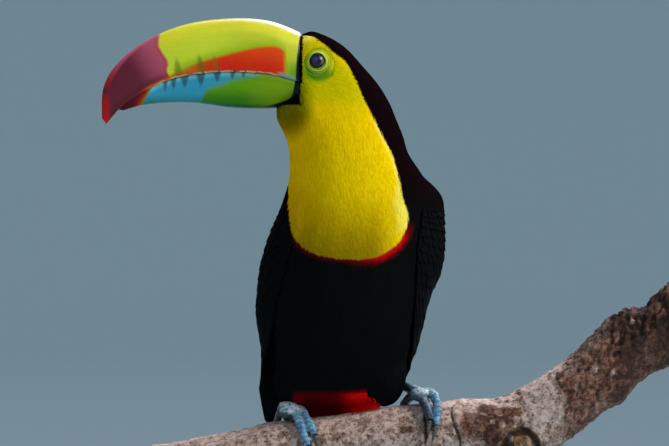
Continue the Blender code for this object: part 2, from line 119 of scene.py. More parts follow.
# How far the branch's top and underside stray from its even shape, by x.
BRANCH_SHIFT = [
    (-153.0, -0.5, 0.0), (-133.0, -2.0, 0.0), (-115.0, -3.3, -1.0), (-105.0, -3.2, -1.0),
    (-94.0, -2.2, 0.0), (-85.0, -1.6, 0.0), (-78.0, 0.0, 0.0), (32.0, 0.0, 0.0), (40.0, -0.9, 0.0),
    (50.0, -1.6, -1.0),
    (58.0, -3.4, -2.0), (68.0, -4.1, -3.0), (82.0, -3.8, -4.0), (95.0, -2.4, -4.6), (105.0, -2.0, -5.0),
    (115.0, -2.8, -5.3), (123.0, -3.0, -5.0), (131.0, -1.6, -4.8), (138.0, 0.0, -4.8), (146.0, 1.4, -4.0),
    (150.0, 2.2, -4.2), (155.0, 3.0, -5.5), (159.0, 2.0, -3.0), (165.0, -0.3, 0.8), (171.0, -1.4, 0.6),
    (176.0, 0.8, -1.3), (182.0, 4.2, -5.3), (210.0, 4.4, -5.3),
]
# The healed hole in the branch's front, x and z, and the pale knots: x, z and radius.
CALLUS = (88.5, 184.0)
PALE_KNOTS = [(136.0, 233.5, 3.0), (148.0, 231.0, 2.8), (161.0, 262.0, 2.4)]
# Patches on the front of the bark: x, z, half width, half height, and how dark; below 0 is pale.
BARK_PATCHES = [
    (64.0, 197.0, 19.0, 14.0, 0.9),
    (71.0, 192.0, 9.0, 11.0, 1.1),
    (79.5, 184.5, 6.5, 4.5, 1.2),
    (66.0, 208.5, 9.0, 4.5, 0.8),
    (80.0, 207.0, 6.0, 4.0, 0.7),
    (52.0, 194.0, 6.5, 9.0, 0.55),
    # The painted shadow of the left foot's inner toe, as a dark strip.
    (26.5, 196.0, 1.6, 12.0, 1.1),
    (14.0, 191.0, 6.5, 5.0, 0.6),
    (-48.0, 190.0, 5.0, 3.0, 0.6),
    (20.0, 206.8, 3.4, 3.2, -0.9),
    (41.5, 185.0, 3.4, 7.0, -1.0),
    (16.0, 183.0, 3.0, 4.0, -0.8),
    (13.0, 201.0, 4.0, 3.0, -0.6),
    (76.0, 199.0, 2.6, 2.2, -1.0),
    (70.0, 201.0, 2.0, 1.8, -0.8),
]

# The fleshy middle of each foot: its place and its three radii.
FOOT_PADS = {
    "left": ((23.0, -8.0, 214.5), (6.5, 7.0, 4.6)),
    "right": ((-63.5, -8.0, 204.6), (8.2, 7.5, 5.6)),
}

# The bill's painted teeth: x, half width and depth below the closing line.
TEETH = [
    (-142.7, 1.4, 7.5), (-137.3, 2.2, 8.0), (-130.0, 2.9, 9.0),
    (-119.5, 3.1, 9.0), (-108.9, 2.8, 7.0), (-98.9, 1.9, 5.5), (-91.8, 1.5, 4.0), (-84.2, 0.9, 2.2),
]
# The olive smudges above the closing line: x, half width and height.
SMUDGES = [(-134.6, 3.2, 15.0), (-119.9, 3.4, 14.5), (-110.3, 1.8, 13.5)]
# The orange blaze's upper edge by x, and the maroon tip's hind edge by height.
BLAZE_TOP = [
    (-150.0, 416.5), (-138.0, 423.2), (-132.3, 425.4), (-126.6, 428.2), (-117.6, 431.6),
    (-105.9, 434.8), (-91.6, 438.6), (-80.0, 440.7), (-71.0, 441.0), (-66.2, 438.8), (-64.0, 433.0),
]
TIP_EDGE = [
    (400.0, -141.0), (421.5, -140.2), (425.5, -141.4), (429.3, -140.8), (434.1, -142.7),
    (438.9, -145.6), (443.6, -147.0), (447.9, -146.6), (460.0, -146.0),
]
# The upper edge of the lower half's green by x, where it turns to cyan.
GREEN_TOP = [
    (-170.0, 396.0), (-124.0, 398.0), (-118.8, 408.0), (-113.9, 414.5), (-104.5, 417.6),
    (-98.7, 420.2), (-85.4, 423.0), (-70.0, 426.0),
]
# The front edge of the black band at the bill's base: by height above, and by x below.
BAND_UPPER = [(410.0, -57.9), (419.0, -57.8), (428.4, -57.5), (437.9, -56.7), (449.0, -55.2)]
BAND_LOWER = [
    (-130.0, 396.0), (-96.0, 398.6), (-78.7, 401.6), (-73.0, 403.4), (-66.3, 405.6),
    (-62.5, 407.2), (-60.4, 409.6), (-59.2, 414.0), (-58.0, 422.0), (-56.0, 440.0),
]


# ---------------------------------------------------------------- meshes


def pick(obj):
    """Makes one object the active one, and the only one selected."""
    for other in bpy.context.selected_objects:
        other.select_set(False)
    obj.select_set(True)
    bpy.context.view_layer.objects.active = obj


def edit(obj):
    """Opens edit mode on one object."""
    pick(obj)
    bpy.ops.object.mode_set(mode="EDIT")


def leave_edit():
    """Goes back to object mode."""
    bpy.ops.object.mode_set(mode="OBJECT")


def apply(obj, kind, **settings):
    """Adds a modifier and applies it."""
    pick(obj)
    modifier = obj.modifiers.new(kind.lower(), kind)
    for name, value in settings.items():
        setattr(modifier, name, value)
    bpy.ops.object.modifier_apply(modifier=modifier.name)


def settle(obj, name):
    """Names a finished piece and moves its place into its mesh."""
    pick(obj)
    bpy.ops.object.transform_apply(location=True, rotation=True, scale=True)
    obj.name = name
    obj.data.name = name
    return obj


def cad_copy(node):
    """A free copy of a CAD node with its loose triangles merged."""
    made = frame["nodes"][node].copy()
    made.data = made.data.copy()
    made.parent = None
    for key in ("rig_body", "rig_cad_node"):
        del made[key]
    made.data.materials.clear()
    bpy.context.scene.collection.objects.link(made)
    edit(made)
    bpy.ops.mesh.select_all(action="SELECT")
    bpy.ops.mesh.remove_doubles(threshold=1e-5)
    leave_edit()
    return made


def join(pieces):
    """Joins pieces into the first of them."""
    pick(pieces[0])
    for piece in pieces[1:]:
        piece.select_set(True)
    bpy.ops.object.join()
    return pieces[0]


def read_rows(items, field):
    """A vector field of a mesh's points or faces, one row each."""
    values = np.empty(3 * len(items), np.float32)
    items.foreach_get(field, values)
    return values.reshape(-1, 3).astype(float)


def points_of(obj):
    """A piece's points in millimetres."""
    return read_rows(obj.data.vertices, "co") / MM


def set_points(obj, points):
    """Moves a piece's points to places in millimetres."""
    obj.data.vertices.foreach_set("co", (points * MM).astype(np.float32).ravel())
    obj.data.update()


def normals_of(obj):
    """The normals at a piece's points."""
    return read_rows(obj.data.vertex_normals, "vector")


def face_middles(obj):
    """The middles of a piece's faces in millimetres."""
    return read_rows(obj.data.polygons, "center") / MM


def set_attribute(obj, name, values):
    """Stores a number, or three, on each point."""
    values = np.asarray(values, np.float32)
    kind, field = ("FLOAT", "value") if values.ndim == 1 else ("FLOAT_VECTOR", "vector")
    attribute = obj.data.attributes.new(name, kind, "POINT")
    attribute.data.foreach_set(field, values.ravel())


def choose_faces(obj, chosen):
    """Selects faces by a true-or-false array and opens edit mode."""
    mesh = obj.data
    mesh.vertices.foreach_set("select", np.zeros(len(mesh.vertices), bool))
    mesh.edges.foreach_set("select", np.zeros(len(mesh.edges), bool))
    mesh.polygons.foreach_set("select", np.asarray(chosen, bool))
    bpy.context.tool_settings.mesh_select_mode = (False, False, True)
    edit(obj)


def choose_edges(obj, wanted):
    """Selects the edges whose two ends pass a test, and opens edit mode."""
    mesh = obj.data
    points = points_of(obj)
    mesh.vertices.foreach_set("select", np.zeros(len(mesh.vertices), bool))
    mesh.polygons.foreach_set("select", np.zeros(len(mesh.polygons), bool))
    chosen = [wanted(points[edge.vertices[0]], points[edge.vertices[1]]) for edge in mesh.edges]
    mesh.edges.foreach_set("select", np.array(chosen, bool))
    bpy.context.tool_settings.mesh_select_mode = (False, True, False)
    edit(obj)


def bevel_edges(obj, wanted, offset, segments):
    """Rounds the edges whose two ends pass a test, by an offset in millimetres."""
    choose_edges(obj, wanted)
    bpy.ops.mesh.bevel(offset=MM * offset, segments=segments, affect="EDGES")
    leave_edit()


def dress(piece, material, slot, *nodes):
    """Gives a finished piece its material and hides the CAD nodes that it stands for; the slot is not
    used.
    """
    piece.data.materials.append(MATERIALS[material])
    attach(piece, "root")
    if nodes:
        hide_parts(*nodes)


def unit(vectors):
    """Vectors brought to length 1."""
    return vectors / np.maximum(np.linalg.norm(vectors, axis=-1, keepdims=True), 1e-9)


def smooth(value, start, end):
    """Rises from 0 at start to 1 at end, softly at both; start may be the larger."""
    share = np.clip((value - start) / (end - start), 0.0, 1.0)
    return share * share * (3 - 2 * share)


def hump(value, middle, width):
    """1 at the middle, and next to nothing two widths from it."""
    return np.exp(-(((value - middle) / width) ** 2))


def lumps_at(places):
    """Soft noise at each place, from about -1 to 1, with lumps about 1 across."""
    return np.array([noise.noise(Vector(place)) for place in places])


def between(table, at):
    """The columns of a table at places in its first column."""
    rows = np.array(table, float)
    return [np.interp(at, rows[:, 0], rows[:, i]) for i in range(1, rows.shape[1])]


class Surface:
    """The surface of a mesh, for laying things on it."""

    def __init__(self, obj):
        mesh = obj.data
        mesh.calc_loop_triangles()
        count = len(mesh.loop_triangles)
        corners = np.empty(3 * count, np.int32)
        loops = np.empty(3 * count, np.int32)
        mesh.loop_triangles.foreach_get("vertices", corners)
        mesh.loop_triangles.foreach_get("loops", loops)
        self.points = points_of(obj)
        self.normals = normals_of(obj)
        self.triangles = corners.reshape(-1, 3)
        self.loops = loops.reshape(-1, 3)
        self.tree = BVHTree.FromPolygons(self.points.tolist(), self.triangles.tolist())

    def nearest(self, points):
        """The nearest places on the surface, the normals there and the triangles' numbers."""
        found = [self.tree.find_nearest(point) for point in points.tolist()]
        places = np.array([hit[0][:] for hit in found])
        index = np.array([hit[2] for hit in found])
        return places, unit(self.normals[self.triangles[index]].mean(axis=1)), index

    def hit(self, origins, headings, reach):
        """How far a ray goes before it meets the surface, or infinity."""
        far = []
        for origin, heading in zip(origins.tolist(), headings.tolist()):
            distance = self.tree.ray_cast(origin, heading, reach)[3]
            far.append(math.inf if distance is None else distance)
        return np.array(far)

    def scatter(self, wanted, spacing):
        """Roots over the wanted part of the surface, none nearer to another than its spacing."""
        corners = self.points[self.triangles]
        middles = corners.mean(axis=1)
        normals = unit(self.normals[self.triangles].mean(axis=1))
        area = np.linalg.norm(
            np.cross(corners[:, 1] - corners[:, 0], corners[:, 2] - corners[:, 0]), axis=1
        ) / 2
        weight = area / spacing(middles) ** 2 * wanted(middles, normals)
        chosen = RANDOM.choice(len(weight), int(9 * weight.sum()), p=weight / weight.sum())
        shares = RANDOM.dirichlet((1, 1, 1), len(chosen))
        roots = (corners[chosen] * shares[:, :, None]).sum(axis=1)
        gaps = spacing(roots)
        tree = KDTree(len(roots))
        for i, root in enumerate(roots.tolist()):
            tree.insert(root, i)
        tree.balance()
        alive = np.ones(len(roots), bool)
        for i, root in enumerate(roots.tolist()):
            if alive[i]:
                for _, other, _ in tree.find_range(root, gaps[i]):
                    if other > i:
                        alive[other] = False
        return roots[alive], normals[chosen][alive], chosen[alive], shares[alive]


def crossings(node, axis, value):
    """The points where a CAD node's edges cross a plane square to an axis."""
    obj = frame["nodes"][node]
    points = points_of(obj)
    ends = np.empty(2 * len(obj.data.edges), np.int32)
    obj.data.edges.foreach_get("vertices", ends)
    start, end = points[ends[0::2]], points[ends[1::2]]
    before, after = start[:, axis] - value, end[:, axis] - value
    crossed = (before < 0) != (after < 0)
    share = before[crossed] / (before[crossed] - after[crossed])
    return start[crossed] + (end[crossed] - start[crossed]) * share[:, None]


# ---------------------------------------------------------------- shader writing


def tint(red, green, blue):
    """A display colour of 0 to 255 as the linear colour a shader takes."""
    shares = [value / 255 for value in (red, green, blue)]
    linear = [s / 12.92 if s <= 0.04045 else ((s + 0.055) / 1.055) ** 2.4 for s in shares]
    return (*linear, 1.0)


class Value:
    """A shader socket whose operators add Math nodes."""

    def __init__(self, finish, socket):
        self.finish = finish
        self.socket = socket

    def maths(self, operation, *values):
        numbered = dict(enumerate(values))
        return self.finish.node("ShaderNodeMath", {"operation": operation}, numbered)

    def __add__(self, other):
        return self.maths("ADD", self, other)

    __radd__ = __add__

    def __sub__(self, other):
        return self.maths("SUBTRACT", self, other)

    def __rsub__(self, other):
        return self.maths("SUBTRACT", other, self)

    def __mul__(self, other):
        return self.maths("MULTIPLY", self, other)

    __rmul__ = __mul__

    def __truediv__(self, other):
        return self.maths("DIVIDE", self, other)

    def __abs__(self):
        return self.maths("ABSOLUTE", self)

    def wave(self):
        """A sine of this many turns, from 0 to 1."""
        turn = self * (2 * math.pi)
        return turn.maths("SINE", turn) * 0.5 + 0.5

    def most(self, other):
        return self.maths("MAXIMUM", self, other)

    def size(self):
        """The length of a vector."""
        return self.finish.node("ShaderNodeVectorMath", {"operation": "LENGTH"}, {0: self}, 1)


def draw_curve(mapping, places):
    """Sets the points of a curve that starts with two."""
    line = mapping.curves[0]
    for point, place in zip(line.points, places):
        point.location = place
    for place in places[2:]:
        line.points.new(*place)
    mapping.update()


class Finish:
    """A material under construction: its nodes, and a few that are used all over."""

    def __init__(self, name, **settings):
        self.material = bpy.data.materials.new(name)
        self.material.use_nodes = True
        self.tree = self.material.node_tree
        self.shader = self.tree.nodes["Principled BSDF"]
        for socket, value in settings.items():
            self.shader.inputs[socket.replace("_", " ")].default_value = value

    def node(self, kind, settings=None, values=None, output=0):
        """Adds a node: its settings come first, then the values or links of its sockets."""
        made = self.tree.nodes.new(kind)
        for name, value in (settings or {}).items():
            if name == "curve_points":
                draw_curve(made.mapping, value)
            else:
                setattr(made, name, value)
        for name, value in (values or {}).items():
            self.give(made.inputs[name], value)
        return Value(self, made.outputs[output])

    def give(self, socket, value):
        if isinstance(value, Value):
            self.tree.links.new(value.socket, socket)
        else:
            socket.default_value = value

    def set(self, socket, value):
        self.give(self.shader.inputs[socket], value)

    def place(self):
        """Object coordinates in millimetres, as a vector and its three numbers."""
        metres = self.node("ShaderNodeTexCoord", output=3)
        vector = self.node("ShaderNodeVectorMath", {"operation": "SCALE"}, {0: metres, "Scale": 1 / MM})
        parts = [self.node("ShaderNodeSeparateXYZ", {}, {0: vector}, i) for i in range(3)]
        return vector, *parts

    def number(self, name):
        """A number stored on the points."""
        return self.node("ShaderNodeAttribute", {"attribute_name": name}, output=2)

    def numbers(self, name):
        """The three numbers of a stored vector."""
        vector = self.node("ShaderNodeAttribute", {"attribute_name": name}, output=1)
        return [self.node("ShaderNodeSeparateXYZ", {}, {0: vector}, i) for i in range(3)]

    def join(self, x, y, z):
        return self.node("ShaderNodeCombineXYZ", {}, {0: x, 1: y, 2: z})

    def noise(self, vector, size, detail=3.0, roughness=0.55, warp=0.0):
        """Soft noise whose lumps are about a size across."""
        values = {"Vector": vector, "Scale": 1 / size, "Detail": detail, "Roughness": roughness}
        values["Distortion"] = warp
        return self.node("ShaderNodeTexNoise", {}, values)

    def cells(self, vector, size, feature="F1"):
        """Distances in a pattern of cells about a size across."""
        values = {"Vector": vector, "Scale": 1 / size}
        return self.node("ShaderNodeTexVoronoi", {"feature": feature}, values)

    def ramp(self, value, start, end, low=0.0, high=1.0):
        """Goes softly from low to high as the value goes from start to end."""
        values = {"Value": value, "From Min": start, "From Max": end, "To Min": low, "To Max": high}
        return self.node("ShaderNodeMapRange", {"interpolation_type": "SMOOTHSTEP"}, values)

    def mix(self, factor, one, other):
        """One colour where the factor is 0, the other where it is 1."""
        colours = {0: factor, 6: one, 7: other}
        return self.node("ShaderNodeMix", {"data_type": "RGBA"}, colours, 2)

    def shade(self, colour, factor):
        """A colour made lighter or darker by a number."""
        return self.node("ShaderNodeVectorMath", {"operation": "SCALE"}, {0: colour, "Scale": factor})

    def curve(self, value, points):
        """A smooth curve through points, from numbers to numbers."""
        xs, ys = zip(*points)
        low_x, high_x, low_y, high_y = min(xs), max(xs), min(ys), max(ys)
        share = (value - low_x) / (high_x - low_x)
        places = [((x - low_x) / (high_x - low_x), (y - low_y) / (high_y - low_y)) for x, y in points]
        made = self.node("ShaderNodeFloatCurve", {"curve_points": places}, {"Value": share})
        return made * (high_y - low_y) + low_y

    def bump(self, height, strength, distance=0.3):
        """Bends the surface normal by a height; 1 stands for the distance in millimetres."""
        values = {"Strength": strength, "Distance": distance * MM, "Height": height}
        self.set("Normal", self.node("ShaderNodeBump", {}, values))


# ---------------------------------------------------------------- markings of the coat


def rounded_outline(corners, steps=5):
    """A closed outline through corners, with its turns rounded."""
    corners = np.array(corners)
    before, after = np.roll(corners, 1, axis=0), np.roll(corners, -1, axis=0)
    further = np.roll(corners, -2, axis=0)
    line = []
    for i in range(len(corners)):
        for t in np.arange(steps) / steps:
            line.append(
                0.5 * (
                    2 * corners[i]
                    + (after[i] - before[i]) * t
                    + (2 * before[i] - 5 * corners[i] + 4 * after[i] - further[i]) * t**2
                    + (3 * corners[i] - before[i] - 3 * after[i] + further[i]) * t**3
                )
            )
    return np.array(line)


def inside_outline(x, z, outline):
    """How far points are inside a closed outline, in millimetres; negative outside it."""
    start, end = outline, np.roll(outline, -1, axis=0)
    nearest = np.full(len(x), np.inf)
    inside = np.zeros(len(x), bool)
    for (x0, z0), (x1, z1) in zip(start, end):
        dx, dz = x1 - x0, z1 - z0
        share = np.clip(((x - x0) * dx + (z - z0) * dz) / (dx * dx + dz * dz + 1e-9), 0, 1)
        nearest = np.minimum(nearest, np.hypot(x - x0 - share * dx, z - z0 - share * dz))
        if z0 != z1:
            inside ^= ((z0 > z) != (z1 > z)) & (x < x0 + (z - z0) / (z1 - z0) * dx)
    return np.where(inside, nearest, -nearest)


BIB_OUTLINE = rounded_outline(BIB_EDGE)


def yellow_depth(points):
    """How far inside the yellow a place is, in millimetres."""
    x, y, z = points.T
    front = inside_outline(x, z, BIB_OUTLINE)
    back = np.maximum(0.75 * (between(BACK_EDGE, z)[0] - x), -12.0)
    behind = smooth(y, FRONT_BACK_Y - 12.0, FRONT_BACK_Y + 6.0)
    return front * (1 - behind) + back * behind


def marks(points):
    """How far inside the yellow a place is, its share of red, and a tone.

    The tone is green above 0, a painted highlight down to -0.4 on the lit right edge of the bib and neck,
    and at -1 it is the white rump.
    """
    x, y, z = points.T
    depth = yellow_depth(points)
    yellow = np.minimum(depth, np.maximum(4.0 * (x + 53.7), 417.5 - z))
    right = smooth(x, -30.0, 2.0)
    band = 4.6 + 2.6 * right
    low = smooth(z, np.where(x < -40.0, 326.0, 332.0), np.where(x < -40.0, 312.0, 314.0))
    at_bib = (0.3 + 0.36 * right) * smooth(-depth, band, 0.2 * band) * low * (y < FRONT_BACK_Y)
    under_tail = smooth(z, 220.0, 213.5) * smooth(y, 53.0, 47.0)
    under_tail = under_tail * smooth(x + 11.0 - 0.9 * (218.0 - z), 1.2, -1.2) * smooth(x, -62.0, -60.0)
    # Painted shade: the red under the tail is weaker to the left and in the middle, which makes it a
    # darker red.
    under_tail = under_tail * (0.4 + 0.6 * smooth(x, -34.0, -12.0))
    rump = smooth(y, 47.0, 53.0) * smooth(z, 188.0, 192.0) * smooth(z, 228.0, 220.0)
    green = np.maximum(green_share(points), 0.42 * smooth(z, 385.0, 412.0))
    # A painted highlight on the lit right edge of the bib and neck, carried as a tone below 0.
    reach = 3.5 + 9.0 * smooth(z, 356.0, 336.0)
    bib_rim_highlight = smooth(np.abs(depth) / reach, 1.0, 0.2) * smooth(x, -32.0, -8.0) * (y < FRONT_BACK_Y)
    green -= 0.3 * bib_rim_highlight * smooth(z, 312.0, 330.0) * smooth(z, 416.0, 390.0)
    tone = np.where(rump > 0.5, -1.0, green)
    return np.stack([np.clip(yellow, -6.0, 6.0), np.maximum(at_bib, under_tail), tone], axis=1)


def plain_marks(points):
    """The markings of black feathers, which have neither yellow nor red."""
    return np.broadcast_to((-6.0, 0.0, 0.0), points.shape).copy()


# ---------------------------------------------------------------- feathers


class Vane:
    """One closed feather vane, modelled once: a ring drawn out station by station to a point."""

    def __init__(self, sides, stations):
        bpy.ops.mesh.primitive_circle_add(vertices=sides, fill_type="NGON", enter_editmode=True)
        made = bpy.context.object
        bpy.context.tool_settings.mesh_select_mode = (True, False, False)
        bpy.ops.mesh.select_all(action="SELECT")
        widths = [width for _, width in stations]
        heights = [along for along, _ in stations] + [1.0]
        bpy.ops.transform.resize(value=(widths[0], 1, 1))
        for i in range(1, len(heights)):
            rise = (0, 0, heights[i] - heights[i - 1])
            bpy.ops.mesh.extrude_region_move(TRANSFORM_OT_translate={"value": rise})
            if i < len(widths):
                bpy.ops.transform.resize(value=(widths[i] / widths[i - 1], 1, 1))
        bpy.ops.mesh.merge(type="CENTER")
        bpy.ops.mesh.select_all(action="SELECT")
        bpy.ops.mesh.normals_make_consistent(inside=False)
        leave_edit()
        shape = points_of(made) * MM
        self.across, self.through, self.along = shape.T
        self.heights = np.array(heights)
        self.station = np.abs(self.along[:, None] - self.heights[None]).argmin(axis=1)
        # Both sheets are cut along the same diagonals, so that neither sinks through the other.
        self.faces = []
        for face in made.data.polygons:
            ring = list(face.vertices)
            if len(ring) == 4 and np.ptp(self.along[ring]) > 1e-4:
                along, across = self.along[ring].round(4), self.across[ring]
                first = np.lexsort((across, -np.abs(across).round(4), along))[0]
                ring = ring[first:] + ring[:first]
                self.faces += [ring[:3], [ring[0], ring[2], ring[3]]]
            else:
                self.faces.append(ring)
        bpy.data.objects.remove(made)
        self.corners = np.concatenate(self.faces)
        self.starts = np.concatenate([[0], np.cumsum([len(ring) for ring in self.faces])[:-1]])
        cuts = [shape[ring[1:3]] - shape[ring[0]] for ring in self.faces]
        self.upright = [np.round(np.cross(*cut)[1], 9) for cut in cuts]

    def folded(self, places, normals):
        """True for each vane with a face that has turned over against the skin's normal."""
        wrong = np.zeros(len(places), bool)
        for face, upright in zip(self.faces, self.upright):
            ring = places[:, face] - places[:, face[:1]]
            facing = np.cross(ring, np.roll(ring, -1, axis=1)).sum(axis=1)
            wrong |= (facing * normals[:, face].mean(axis=1)).sum(axis=1) * upright < 0.0
        return wrong

    def copies(self, name, places, seeds, colours, root_uvs, lie=None):
        """Many vanes as one mesh; places holds every point, and lie the skin's normal below it."""
        count, size = places.shape[:2]
        mesh = bpy.data.meshes.new(name)
        corners = self.corners[None] + size * np.arange(count)[:, None]
        starts = self.starts[None] + len(self.corners) * np.arange(count)[:, None]
        mesh.vertices.add(count * size)
        mesh.vertices.foreach_set("co", (places * MM).astype(np.float32).ravel())
        mesh.loops.add(corners.size)
        mesh.loops.foreach_set("vertex_index", corners.astype(np.int32).ravel())
        mesh.polygons.add(starts.size)
        mesh.polygons.foreach_set("loop_start", starts.astype(np.int32).ravel())
        mesh.update(calc_edges=True)
        mesh.shade_smooth()
        made = bpy.data.objects.new(name, mesh)
        bpy.context.scene.collection.objects.link(made)
        if lie is not None:
            soft = unit(0.2 * normals_of(made) + 0.8 * lie.reshape(-1, 3))
            mesh.normals_split_custom_set_from_vertices(soft.tolist())
        one = np.stack([self.across, self.along, self.through], axis=1)
        own = np.broadcast_to(one, (count, size, 3)).copy()
        own[:, :, 2] = seeds[:, None]
        set_attribute(made, "vane", own.reshape(-1, 3))
        set_attribute(made, "mark", colours.reshape(-1, 3))
        patch = np.stack([0.0015 * self.across, 0.003 * (self.along - 0.5)], axis=1)
        uvs = (root_uvs[:, None] + patch[None]).reshape(-1, 2)[corners.ravel()]
        layer = mesh.uv_layers.new(name="OFBake")
        layer.uv.foreach_set("vector", uvs.astype(np.float32).ravel())
        return made


SMALL_VANE = [(0.0, 0.5), (0.3, 0.95), (0.65, 1.0), (0.88, 0.68)]
BODY_VANE = [(0.0, 0.45), (0.2, 0.85), (0.42, 1.0), (0.64, 0.98), (0.82, 0.8), (0.94, 0.48)]
LONG_VANE = [
    (0.0, 0.8), (0.06, 0.86), (0.15, 0.93), (0.27, 0.98), (0.4, 1.0), (0.53, 1.0), (0.66, 0.99),
    (0.78, 0.95), (0.87, 0.86), (0.935, 0.68), (0.975, 0.44),
]


def eye_centre(side):
    """The middle of an eye, a little below the middle of its CAD box."""
    low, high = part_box(f"eye_{side}")
    return np.array((low + high) / 2) / MM - np.array((0.0, 0.0, 0.8))


EYES = {"left": eye_centre("left"), "right": eye_centre("right")}
EYE_RADIUS = (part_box("eye_left")[1].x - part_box("eye_left")[0].x) / 2 / MM
MIDDLE_Y = (EYES["left"][1] + EYES["right"][1]) / 2
EYE_PLUG_OUT = 19.6


def eye_offset(points):
    """Place beside and above the eye's middle, and whether a point is on a side of the face."""
    x, y, z = points.T
    eye = EYES["left"]
    return x - eye[0], z - eye[2], np.abs(y - MIDDLE_Y) > 10.0


def from_bare_ring(beside, above):
    """Distance from the middle of the bare skin round an eye, as a share of its size."""
    return np.hypot((beside - 0.8) / 9.2, (above + 1.7) / 9.9)


def bare_share(points):
    """1 on the bare skin round each eye, 0 on the feathers."""
    beside, above, on_side = eye_offset(points)
    return smooth(from_bare_ring(beside, above), 1.12, 0.92) * on_side


def green_share(points):
    """How green the feathers are near the bare skin; it reaches further below the eye."""
    beside, above, on_side = eye_offset(points)
    upper = smooth(above + 0.5 * beside, -4.0, 3.0) * smooth(beside, -9.0, -4.0)
    reach = 1.25 + 0.4 * smooth(above, 2.0, -7.0)
    return smooth(from_bare_ring(beside, above), reach, 0.95) * on_side * (1 - 0.6 * upper)


def coat_lie(points, normals):
    """The way the feathers lie: back from the bill, round the eye, then down the body."""
    x, _, z = points.T
    head = smooth(z, 388.0, 428.0)
    cheek = smooth(z, 432.0, 410.0)
    flow = np.stack([head * (1 - 0.4 * cheek), np.zeros(len(x)), -1 + 0.78 * head], axis=1)
    beside, above, on_side = eye_offset(points)
    distance = np.hypot(beside, above)
    turned = on_side * hump(np.maximum(distance, 8.0), 8.0, 4.0) * (z > 415.0)
    away = np.stack([beside, np.zeros(len(x)), above], axis=1) / np.maximum(distance, 1)[:, None]
    flow += 0.9 * turned[:, None] * away
    flow -= normals * (flow * normals).sum(axis=1, keepdims=True)
    return unit(flow)


def lay_coat(name, vane, surface, roots, uvs, sizes, thickness, zone_marks):
    """Lays vanes on the skin from their roots along the lie of the coat, overlapping like tiles."""
    length, width, depth = sizes
    count = len(roots)
    length = length * RANDOM.uniform(0.85, 1.15, count)
    width = width * RANDOM.uniform(1.0, 1.25, count)
    place, normal, _ = surface.nearest(roots)
    heading = coat_lie(place, normal)
    stray = RANDOM.normal(0.0, math.radians(4.0), count)[:, None]
    heading = unit(heading + stray * np.cross(normal, heading))
    centres, sides, rises = [place], [np.cross(normal, heading)], [normal]
    for step in np.diff(vane.heights):
        place, normal, _ = surface.nearest(place + heading * (step * length)[:, None])
        drift = 0.25 * coat_lie(place, normal)
        heading = heading + drift
        heading = unit(heading - normal * (heading * normal).sum(axis=1, keepdims=True))
        centres.append(place)
        sides.append(np.cross(normal, heading))
        rises.append(normal)
    centres = np.stack(centres, axis=1)[:, vane.station]
    sides = np.stack(sides, axis=1)[:, vane.station]
    rises = np.stack(rises, axis=1)[:, vane.station]
    half = 0.5 * width[:, None] * vane.across[None]
    flat = centres + sides * half[:, :, None]
    base, normal, _ = surface.nearest(flat.reshape(-1, 3))
    base, normal = base.reshape(flat.shape), normal.reshape(flat.shape)
    rise = 0.12 + 0.74 * smooth(vane.along, 0.0, 0.36) + 0.14 * vane.along
    rise = rise * (1 - 0.1 * vane.across**2)
    lift = depth[:, None] * RANDOM.uniform(0.97, 1.02, count)[:, None] * rise[None]
    lift += thickness * (vane.through * (1 - 0.6 * vane.along))[None] + 0.5 * thickness
    places = base + normal * lift[:, :, None]
    wrong = vane.folded(places, normal)
    places[wrong] = flat[wrong] + rises[wrong] * lift[wrong][:, :, None]
    normal[wrong] = rises[wrong]
    still = vane.folded(places, normal)
    places, normal, uvs = places[~still], normal[~still], uvs[~still]
    jitter = RANDOM.normal(0.0, 0.25, (len(places), 1, 3))
    colours = zone_marks((places + jitter).reshape(-1, 3)).reshape(places.shape)
    return vane.copies(name, places, RANDOM.random(len(places)), colours, uvs, normal)


class WingGrid:
    """The outer surface of a folded wing or of the tail, as a grid by height and by share across."""

    def __init__(self, heights, rows, outside):
        self.heights = heights
        self.rows = rows
        down = np.gradient(rows, axis=0)
        over = np.gradient(rows, axis=1)
        normals = unit(np.cross(over, down))
        self.hand = math.copysign(1.0, normals.mean(axis=(0, 1)) @ outside)
        self.outward = self.hand * normals
        self.spans = np.linalg.norm(np.diff(rows, axis=1), axis=2).sum(axis=1)

    def read(self, field, height, across):
        """A field of the grid at heights and at shares across, between its points."""
        i = np.interp(height, self.heights[::-1], np.arange(len(self.heights))[::-1])
        j = np.clip(across, 0, 1) * (field.shape[1] - 1)
        i0 = np.clip(i.astype(int), 0, field.shape[0] - 2)
        j0 = np.clip(j.astype(int), 0, field.shape[1] - 2)
        s, t = (i - i0)[..., None], (j - j0)[..., None]
        top = field[i0, j0] * (1 - t) + field[i0, j0 + 1] * t
        low = field[i0 + 1, j0] * (1 - t) + field[i0 + 1, j0 + 1] * t
        return top * (1 - s) + low * s

    def lay(self, vane, top, bottom, across, half_share, sink, tilt, thickness):
        """Places of vanes that run down the grid; the edge at the lower share lies outermost."""
        height = top[:, None] + (bottom - top)[:, None] * vane.along[None]
        inset = 0.5 - 0.5 * np.cos(np.pi * vane.along[None])
        centre = across[0][:, None] * (1 - inset) + across[1][:, None] * inset
        toward = -self.hand * vane.across[None]
        share = centre + half_share[:, None] * toward
        base = self.read(self.rows, height, share)
        outward = unit(self.read(self.outward, height, share))
        lift = -sink[0][:, None] * (1 - vane.along[None]) - sink[1][:, None] * vane.along[None]
        lift = lift - tilt * (0.5 + 0.5 * toward)
        lift = lift + thickness * (vane.through * (1 - 0.5 * vane.along))[None]
        return base + outward * lift[:, :, None]


